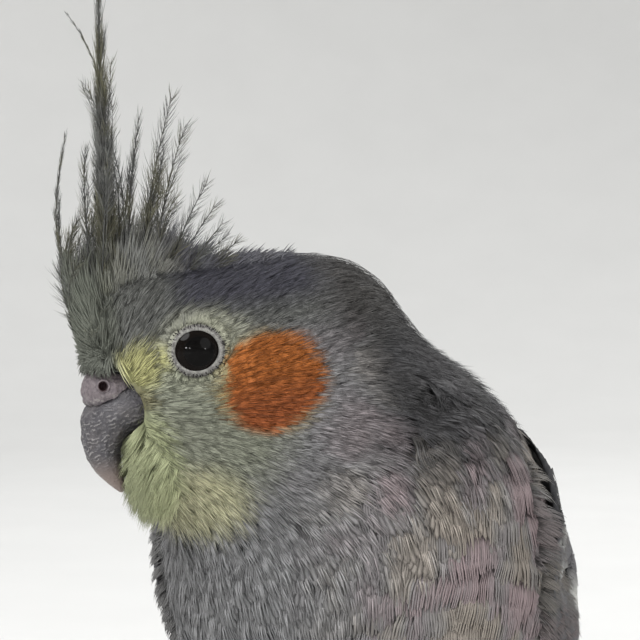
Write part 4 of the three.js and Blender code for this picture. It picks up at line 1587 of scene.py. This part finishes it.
# %% Feathers over the lower bill
def lay_chin():
    rng = np.random.default_rng(51)
    count = 900
    side = rng.choice([-1, 1], count)
    high = rng.uniform(-19, -7.4, count)
    ahead = rng.uniform(8.5, 14.6, count)
    ahead = ahead + np.clip(high + 11, 0, 3) * 0.5 + np.clip(-15 - high, 0, 2) * 0.4
    start = np.stack([ahead, side * rng.uniform(0.6, 6.2, count), high], 1)
    roots, normals = settle(np.array([in_skull(*p) for p in start]))
    head = skull_places(roots)
    share = np.clip((-8 - head[:, 2]) / 10, 0, 1)
    way_head = np.stack([0.75 - 0.35 * share, 0.0 * share, -0.85 - 0.2 * share], 1)
    turn = np.array(SKULL)[:3, :3] / MM
    way = unit((way_head + rng.normal(0, 0.09, (count, 3))) @ turn.T)
    reach = rng.uniform(3.4, 5.4, count) * MM
    outward = unit(normals)
    rise = (SHORT_SHARES - 0.55 * SHORT_SHARES**2)[None, :, None]
    shaft = straight(roots, way, reach, SHORT_SHARES) + rise * outward[:, None] * (1.1 * MM)
    aside = 0.6 * turn[:, 1] * np.sign(head[:, 1])[:, None, None]
    facing = unit(outward[:, None] + aside + 0 * shaft)
    half, depth = np.full(count, 0.5) * MM, np.full(count, 0.2) * MM
    words = {"parted": 0.35, "wander": 0.4, "rough": 0.5, "ridged": 0.15}
    arrays = fan(shaft, facing, SHORT_SHARES, half, 8, depth, rng, **words)
    finish_barbs("chin_feathers", arrays, FACE_COAT)


lay_chin()

# %% [markdown]
# Flight and tail feathers are long and stiff, with a shaft down the middle. Their barbs hook together into a
# smooth web, so modelling each barb would only waste triangles. Each feather is a closed plate swept along
# its own path, with a little camber and small splits in its edge, and its barbs are lines in the finish.

# %% Long vanes
ACROSS = np.array([-1, -0.72, -0.36, -0.06, 0, 0.06, 0.36, 0.72, 1])
UNDER = np.array([0.6, 0, -0.6])
COLUMNS = len(ACROSS) + len(UNDER)


def vane_faces(count, stations):
    """Corner numbers and map columns of the faces of closed plates: quads, then the fans at both ends."""
    plate = np.arange(count)[:, None, None] * stations * COLUMNS
    row = np.arange(stations - 1)[None, :, None] * COLUMNS
    column = np.arange(COLUMNS)[None, None]
    after = (column + 1) % COLUMNS
    base = plate + row
    quads = np.stack([base + column, base + after, base + COLUMNS + after, base + COLUMNS + column], -1)
    j = np.arange(1, COLUMNS - 1)
    start = np.stack([0 * j, j + 1, j], 1)[None] + plate
    end = np.stack([0 * j, j, j + 1], 1)[None] + plate + (stations - 1) * COLUMNS
    return quads.reshape(-1, 4), np.concatenate([start.reshape(-1, 3), end.reshape(-1, 3)])


def vane_chart(count, stations):
    """Each plate gets its own cell of the map. Returns one map place for each face corner."""
    cells = math.ceil(math.sqrt(count))
    spots = np.linspace(0.03, 0.97, COLUMNS + 1)
    plate = np.arange(count)
    low = np.stack([plate % cells, plate // cells], 1) / cells
    along = np.linspace(0.06, 0.94, stations)
    row, column = np.arange(stations - 1)[:, None], np.arange(COLUMNS)[None]
    u = np.stack([spots[column + 0 * row], spots[column + 1 + 0 * row]] * 2, -1)[..., [0, 1, 3, 2]]
    v = np.stack([along[row + 0 * column]] * 2 + [along[row + 1 + 0 * column]] * 2, -1)
    quads = low[:, None, None, None] + np.stack([u, v], -1)[None] / cells
    j = np.arange(1, COLUMNS - 1)
    bulge = 0.05 * np.sin(np.pi * np.arange(COLUMNS) / COLUMNS)
    caps = []
    for order, edge, sign in (((0 * j, j + 1, j), 0.06, -1), ((0 * j, j, j + 1), 0.94, 1)):
        fan_u = np.stack([spots[o] for o in order], 1)
        fan_v = np.stack([edge + sign * bulge[o] for o in order], 1)
        caps.append((low[:, None, None] + np.stack([fan_u, fan_v], -1)[None] / cells).reshape(-1, 2))
    return np.concatenate([quads.reshape(-1, 2)] + caps)


def vane_mesh(name, shaft, facing, half, rng, camber=0.1, thick=0.12):
    """One mesh of closed plates. Shaft and facing are (plates, stations, 3), half widths in millimetres."""
    count, stations = shaft.shape[:2]
    along = unit(np.gradient(shaft, axis=1))
    side = unit(np.cross(along, facing))
    up = unit(np.cross(side, along))
    place = np.concatenate([ACROSS, UNDER])
    rise = camber * (1 - place**2) * half[..., None] + np.where(place == 0, 0.16, 0)
    rise = rise - np.where(np.arange(COLUMNS) >= len(ACROSS), thick, 0)
    rise = rise + rng.normal(0, 0.02, (count, stations, 1))
    split = 1 - 0.22 * (rng.random((count, stations, 2)) < 0.07) - 0.03 * rng.random((count, stations, 2))
    edge = np.where(place < 0, split[..., :1], split[..., 1:])
    wide = place * half[..., None] * np.where(abs(place) > 0.7, edge, 1)
    out = side[:, :, None] * wide[..., None] + up[:, :, None] * rise[..., None]
    vertices = shaft[:, :, None] + out * MM
    mesh, _ = mesh_of(name, vertices, *vane_faces(count, stations))
    long = np.linalg.norm(np.diff(shaft, axis=1), axis=2).sum(1) / MM
    share = np.broadcast_to(np.linspace(0, 1, stations)[None, :, None], rise.shape)
    own = np.broadcast_to(rng.random((count, 1, 1)), rise.shape)
    lay_vectors(mesh, "colour_place", np.broadcast_to(shaft[:, :, None], vertices.shape))
    lay_vectors(mesh, "grain", np.stack([share, own, own], -1))
    web = [place + 0 * rise, half[..., None] + 0 * rise, share * long[:, None, None]]
    lay_vectors(mesh, "web", np.stack(web, -1))
    lay_chart(mesh, vane_chart(count, stations))
    mesh.update()
    return mesh


def vane_material(name, body, fringe=1.3):
    """Slanting lines for the barbs, a pale fringe and a dark shaft. Web is where a corner lies on it."""
    material, shader, wire = new_material(name, 0.5, 0.3)
    place, web = wire.attribute("colour_place"), wire.attribute("web")
    across, half, long = (web.part(k) for k in range(3))
    away = abs(across)
    lines = ((long + away * half * -1.1 + place.noise(6, 1.0) * 1.2) * 13).stripes()
    own = wire.attribute("grain").part(1)
    light = (lines * 0.16 + 0.86) * (away.step(0.86, 0.98) * (fringe - 1) + 1)
    light = light * ((own - 0.5) * 0.2 + 1)
    tone = body(place).shaded(light)
    feed(shader, "Base Color", tone.mix(away.step(0.07, 0.04) * 0.8, colour(44, 40, 38)))
    feed_bumps(shader, lines, 0.08, 0.6)
    return material


print("a plate of 44 stations has", sum(len(faces) for faces in vane_faces(1, 44)), "faces")

# %% [markdown]
# A folded wing shows three stacks of long feathers. The pointed primaries reach furthest back, the
# secondaries cover them, and a few broad ones close the top. Their places could be set one by one, but they
# follow each other in even steps. So a loop gives each its start, end, half width and lift, and rays from
# the side or from above find the wing's surface below it.

# %% Long feathers of the wings
VANE_STATIONS = 44
PRIMARIES = [
    ((44 + 2 * k, 40 - k), (97 + 4.6 * k, 31.5 - 1.9 * k), 3.7, 0.5 - 0.09 * k) for k in range(7)
]
SECONDARIES = [
    ((20 + 1.4 * k, 42.5 + 4.5 * k), (99 - 4.4 * k, 32 + 3.9 * k), 4.6, 0.3 + 0.16 * k) for k in range(8)
]
TOP_ONES = [
    ((17.5 - 3.2 * k, 22 + 3 * k), (13 - 2.9 * k, 88 - 4 * k), 4.4, 0.9 + 0.2 * k) for k in range(5)
]


def vane_path(tree, side, start, end, lift, stations, above=False):
    """A smooth path over a wing between two places, seen from its side or, for the top ones, from above."""
    share = np.linspace(0, 1, stations)
    first = start[0] + (end[0] - start[0]) * share
    second = start[1] + (end[1] - start[1]) * share
    if above:
        line = np.array([in_bird(side * x, y, 140) for x, y in zip(first, second)])
        cast, open_axis = (0, 0, -1), 2
    else:
        second = second + 1.2 * np.sin(np.pi * share)
        line = np.array([in_bird(side * 60, y, z) for y, z in zip(first, second)])
        cast, open_axis = (-side, 0, 0), 0
    hits = [tree.ray_cast(place, cast) for place in line]
    good = [i for i, h in enumerate(hits) if h[0] is not None and -Vector(cast).dot(h[1]) > 0.2]
    held = np.clip(share, share[good[0]], share[good[-1]])
    found = share[good]
    line[:, open_axis] = np.polyval(np.polyfit(found, [hits[i][0][open_axis] for i in good], 3), held)
    looks = [np.polyfit(found, [hits[i][1][k] for i in good], 2) for k in range(3)]
    facing = unit(np.stack([np.polyval(look, held) for look in looks], 1))
    rise = lift - 1.5 * (1 - ramp(share, 0, 0.2))
    return line + facing * rise[:, None] * MM, facing


def width_along(widest, pointed, stations):
    share = np.linspace(0, 1, stations)
    if pointed:
        shape = np.interp(share, [0, 0.15, 0.6, 0.85, 0.96, 1], [0.5, 0.9, 1, 0.75, 0.35, 0.06])
    else:
        shape = np.interp(share, [0, 0.15, 0.5, 0.88, 0.97, 1], [0.5, 0.85, 1, 0.9, 0.5, 0.1])
    return widest * shape


def lay_vanes(name, tree, side, vanes, pointed, material, rng, above=False):
    paths = [
        vane_path(tree, side, start, end, lift, VANE_STATIONS, above) for start, end, _, lift in vanes
    ]
    half = np.array([width_along(widest, pointed, VANE_STATIONS) for _, _, widest, _ in vanes])
    shaft, facing = np.array([p for p, _ in paths]), np.array([f for _, f in paths])
    finish_piece(link(vane_mesh(name, shaft, facing, half, rng)), material)


def flight_tone(place):
    tone = solid(place, colour(74, 72, 76))
    return tone.mix(place.noise(7, 2.0).step(0.45, 0.65) * 0.5, colour(90, 87, 88))


def lay_long_feathers(word, side, rng):
    tree, name = WING_TREES[word], f"wing_{word}"
    lay_vanes(f"{name}_flight", tree, side, PRIMARIES, True, FLIGHT_VANES, rng)
    lay_vanes(f"{name}_long", tree, side, SECONDARIES, False, WING_VANES, rng)
    lay_vanes(f"{name}_top", tree, side, TOP_ONES, False, WING_VANES, rng, True)


WING_VANES = vane_material("wing_vanes", wing_tone)
FLIGHT_VANES = vane_material("flight_vanes", flight_tone)
print("long feathers on each wing:", len(PRIMARIES) + len(SECONDARIES) + len(TOP_ONES))

# %% [markdown]
# Small feathers, the coverts, cover the wing's shoulder and the roots of the long ones. Vanes like the long
# ones would be too stiff at this size. So they are tufts that march over the lining towards the wing's tip.
# They are closest at the front edge and grow longer and wider to the rear, where their roots are raised to
# lie on the long feathers.

# %% Small feathers of the wings
WING_TIP = (128, 19)
COVERT_END = 40
WING_COAT = feather_material("wing_coverts", wing_tone, 0.6, 0.55, 0.12, 0.14)


def front_edge(up):
    """Where a folded wing begins at a height, in the bird's millimetres."""
    return np.interp(up, [40, 50, 76, 84, 92], [15, 0, -9, 3, 18])


def covered(points):
    body = bird_places(points)
    behind, up = body[:, 1], body[:, 2]
    on_wing = behind > front_edge(up) - 2.6
    return (up > 44 + 0.62 * (behind - 34)) & (behind < COVERT_END) & on_wing


def covert_gap(points):
    return 1.08 + 2.4 * ramp(bird_places(points)[:, 1], -2, 50)


def lay_coverts(word, side, rng):
    tree = WING_TREES[word]
    roots, normals = settle(scattered(LININGS[word], covert_gap, 61, covered), tree)
    outward = (normals[:, 0] * side > -0.15) | (normals[:, 2] > 0.3)
    roots, normals = roots[outward], normals[outward]
    count = len(roots)
    ways = flattened(unit(in_bird(side * 12, *WING_TIP) - roots), normals)
    ways = swung(ways, normals, rng.normal(0, 0.06, count))
    behind = bird_places(roots)[:, 1]
    roots = roots + normals * (ramp(behind, 12, 28) * 1.4 * MM)[:, None]
    size = ramp(behind, -4, 48)
    reach = (3.2 + 11.8 * size) * (0.9 + 0.2 * rng.random(count)) * MM
    half = (0.9 + 2.8 * size) * MM
    depth = (0.4 + 0.55 * size) * (0.9 + 0.2 * rng.random(count)) * MM
    words = {"parted": 0.88, "wander": 0.02, "rough": 0.03, "ridged": 0.14, "lifted": 3, "tree": tree}
    arrays = tufts(roots, ways, reach, (0, 0.4, 0.75, 0.92, 1), half, 9, depth, rng, **words)
    finish_barbs(f"wing_{word}_small", arrays, WING_COAT)


print("the wings' front edge at 76 mm up:", front_edge(76))

# %% [markdown]
# On a resting bird the flank feathers reach over the front edge of the folded wing and hide the gap behind
# it. A bulge of the skin would close the gap too, but it would look hard. So tips are scattered over the
# wing's edge, and each feather is drawn from a root on the skin before it, out over the gap, to its tip.

# %% Flank feathers, and both wings
EDGE_HEIGHTS = (45, 62, 73, 79, 83, 86)
REACHED_OVER = (7, 7, 5.5, -1, -4, -14)
FLANK_SHARES = np.array([0, 0.4, 0.75, 1])


def flank_tone(place):
    return markings(place).mix(0.65, colour(100, 99, 97))


def near_edge(points):
    body = bird_places(points)
    behind, up = body[:, 1], body[:, 2]
    return (behind < front_edge(up) + np.interp(up, EDGE_HEIGHTS, REACHED_OVER)) & (up > 42)


def lay_wing_edge(word, side, material, rng):
    tips, look = settle(scattered(LININGS[word], evenly(1.1), 63, near_edge), WING_TREES[word])
    outside = (look[:, 0] * side > -0.2) | (look[:, 1] < -0.3)
    tips, look = tips[outside], look[outside]
    count = len(tips)
    shift = np.array([-side * 1.0, -5.2, 4.4]) * MM
    roots, normals = settle(tips + shift + rng.normal(0, 0.4, (count, 3)) * MM)
    out = unit(normals + look)
    bow = out[:, None] * np.sin(np.pi * FLANK_SHARES)[None, :, None] * (1.3 * MM)
    way = tips + look * 0.7 * MM - roots
    shaft = roots[:, None] + way[:, None] * FLANK_SHARES[:, None] + bow
    share = FLANK_SHARES[:, None]
    facing = unit(normals[:, None] * (1 - share) + look[:, None] * share)
    half = rng.uniform(0.9, 1.3, count) * MM
    words = {"parted": 0.6, "wander": 0.08, "rough": 0.15, "ragged": 0.25, "ridged": 0.12}
    arrays = fan(shaft, facing, FLANK_SHARES, half, 9, np.full(count, 0.3) * MM, rng, **words)
    finish_barbs(f"flank_{word}_edge", arrays, material)


def lay_wings():
    flank = feather_material("flank_feathers", flank_tone, 0.62, 0.42, 0.16, 0.03, 0.8, (0.42, 0.56))
    for word, side in SIDES:
        rng = np.random.default_rng(60)
        lay_long_feathers(word, side, rng)
        lay_coverts(word, side, rng)
        lay_wing_edge(word, side, flank, rng)


lay_wings()

# %% [markdown]
# A cockatiel's tail is long and pointed and has twelve feathers, six to a side. The middle pair is longest
# and lies on top, and the outer ones are shorter and lower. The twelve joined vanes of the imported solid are
# thick, so thin plates take their place, each swept along its own sagging line down to the floor.

# %% Tail feathers
def lay_tail():
    rng = np.random.default_rng(71)
    stations = 70
    share = np.linspace(0, 1, stations)
    shafts, halves = [], []
    for pair in range(6):
        outward = pair / 5
        long = 1 - 0.44 * outward**0.8
        for side in (-1, 1):
            aside = side * ((1.2 + 4.3 * outward) * (1 - share) + (1 + 8.5 * outward) * share)
            behind = 58 + 141.6 * long * share
            up = 34.5 - 34 * long * share - 0.62 * pair - 1.6 * np.sin(np.pi * share) + 0.25
            shafts.append([in_bird(a, b, c) for a, b, c in zip(aside, behind, np.maximum(up, 0.6))])
            widths = (3, 5.4, 5.6, 4, 1.6, 0.3) if pair == 0 else (3, 6, 6.8, 6.2, 4.4, 0.5)
            at = (0, 0.2, 0.5, 0.78, 0.94, 1) if pair == 0 else (0, 0.2, 0.5, 0.82, 0.95, 1)
            halves.append(np.interp(share, at, widths))
    shaft = np.array(shafts)
    facing = np.broadcast_to(np.array([0, 0.2, 1.0]), shaft.shape)
    material = vane_material("tail_vanes", flight_tone, 1.2)
    mesh = vane_mesh("tail_vanes", shaft, facing, np.array(halves) * 0.92, rng)
    finish_piece(link(mesh), material, ["tail"])


lay_tail()

# %% [markdown]
# The legs and feet are bare and scaled, and the claws are plain dark horn. The scales could be a bump in the
# finish alone, but then the toes' outline stays smooth. So the faceted solids are remeshed and smoothed,
# and small scales are raised on them by a cell pattern, with nothing pushed below the floor.

# %% Legs and claws
SCALE_SIZE = 0.95
SCALE_HEIGHT = 0.22


def scales(made):
    """Raises the middles of cells over a piece and keeps its soles just above the floor."""
    cells = np.array([noise.voronoi(Vector(p) / (SCALE_SIZE * MM))[0][:2] for p in corners(made.data)])
    raised = SCALE_HEIGHT * ramp(cells[:, 1] - cells[:, 0], 0.0, 0.35) - SCALE_HEIGHT * 0.4
    pushed(made, lambda places: raised)
    places = corners(made.data)
    places[:, 2] = np.maximum(places[:, 2], 0.02 * MM)
    move_corners(made.data, places)


def leg_material():
    material, shader, wire = new_material("leg_skin", 0.6, 0.3)
    place = wire.object_place()
    tone = solid(place, colour(112, 102, 103))
    tone = tone.mix(place.noise(2.5, 3.0).step(0.4, 0.65) * 0.7, colour(134, 122, 119))
    settings = {"feature": "DISTANCE_TO_EDGE"}
    cells = place.add("ShaderNodeTexVoronoi", settings, {"Vector": place, "Scale": 1 / (0.75 * MM)})
    feed(shader, "Base Color", tone.mix(cells.step(0.12, 0.02) * 0.7, colour(66, 58, 60)))
    feed_bumps(shader, cells.step(0.0, 0.2), 0.15, 0.8)
    return material


def claw_material():
    material, shader, wire = new_material("claw_horn", 0.35, 0.45)
    place = wire.object_place()
    tone = solid(place, colour(62, 57, 58))
    mottled = place.noise(0.8, 3.0).step(0.4, 0.7) * 0.6
    feed(shader, "Base Color", tone.mix(mottled, colour(92, 84, 82)))
    return material


def lay_legs():
    skin_of_leg, horn = leg_material(), claw_material()
    for word, _ in SIDES:
        leg = [f"shank_{word}", f"foot_{word}"]
        smooth_piece(leg, f"leg_{word}", 0.28, 5, skin_of_leg, scales)
        claws = [f"claw_{word}_{toe}" for toe in ("inner", "outer", "hind", "outer_hind")]
        smooth_piece(claws, f"claws_{word}", 0.14, 3, horn)


lay_legs()

# %% [markdown]
# The bird stands in a plain pale studio: a round floor that curves up behind it, a soft key light from the
# upper left as in the photograph, a weaker fill and a rim light. Three small bright lights stand in for
# windows, because a wet eye looks dead without sharp reflections. A picture of a room could light it too,
# but then the script would need a second file.

# %% Floor, light and surroundings
FLOOR_RADIUS = 0.75
CURVE_RADIUS = 0.6
WALL_HEIGHT = 0.95
LIGHT_AIM = (0, 0, 80)
LIGHTS = [
    # Name, turn and rise in degrees, distance and size in metres, power in watts
    ("key", -35, 48, 0.9, 0.5, 6),
    ("fill", 60, 25, 1.0, 0.7, 2.0),
    ("rim", 160, 40, 1.0, 0.5, 4),
    ("window_a", -13, 11, 0.9, 0.034, 1.3),
    ("window_b", 0, 10, 0.9, 0.026, 0.7),
    ("window_c", 55, 8, 0.9, 0.024, 0.6),
]


def make_stage():
    """A round pale floor that curves up into a low wall, so that no edge shows behind the bird."""
    bm = bmesh.new()
    curve = [
        (FLOOR_RADIUS + CURVE_RADIUS * math.sin(a), CURVE_RADIUS * (1 - math.cos(a)))
        for a in np.linspace(0.1, math.pi / 2, 12)
    ]
    wall = (FLOOR_RADIUS + CURVE_RADIUS, WALL_HEIGHT)
    spun_profile(bm, [(0, 0), (FLOOR_RADIUS, 0), *curve, wall], 96)
    bmesh.ops.remove_doubles(bm, verts=bm.verts, dist=1e-6)
    floor = bmesh_piece(bm, "floor")
    material, shader, wire = new_material("pale_floor", 0.8, 0.2)
    place = wire.object_place()
    tone = solid(place, (0.72, 0.72, 0.71, 1))
    feed(shader, "Base Color", tone.shaded(place.noise(40, 3.0) * 0.06 + 0.97))
    floor.data.materials.append(material)


def make_light(name, turn, rise, distance, size, power):
    data = bpy.data.lights.new(name, "AREA")
    data.shape = "DISK"
    data.size = size
    data.energy = power
    put_looking(bpy.data.objects.new(name, data), in_bird(*LIGHT_AIM), turn, rise, distance)


def make_world():
    world = bpy.data.worlds.new("studio")
    bpy.context.scene.world = world
    world.use_nodes = True
    background = world.node_tree.nodes["Background"]
    background.inputs["Color"].default_value = (0.9, 0.9, 0.9, 1)
    background.inputs["Strength"].default_value = 0.7
    bpy.context.scene.view_settings.view_transform = "Standard"


make_stage()
for light in LIGHTS:
    make_light(*light)
make_world()
print("lights:", len(LIGHTS))

# %% [markdown]
# At the end the number of triangles of all the made pieces is printed. A coat that has grown too long is
# cheap to find here.

# %% Size and finish
print("triangles", sum(made_triangles.values()))
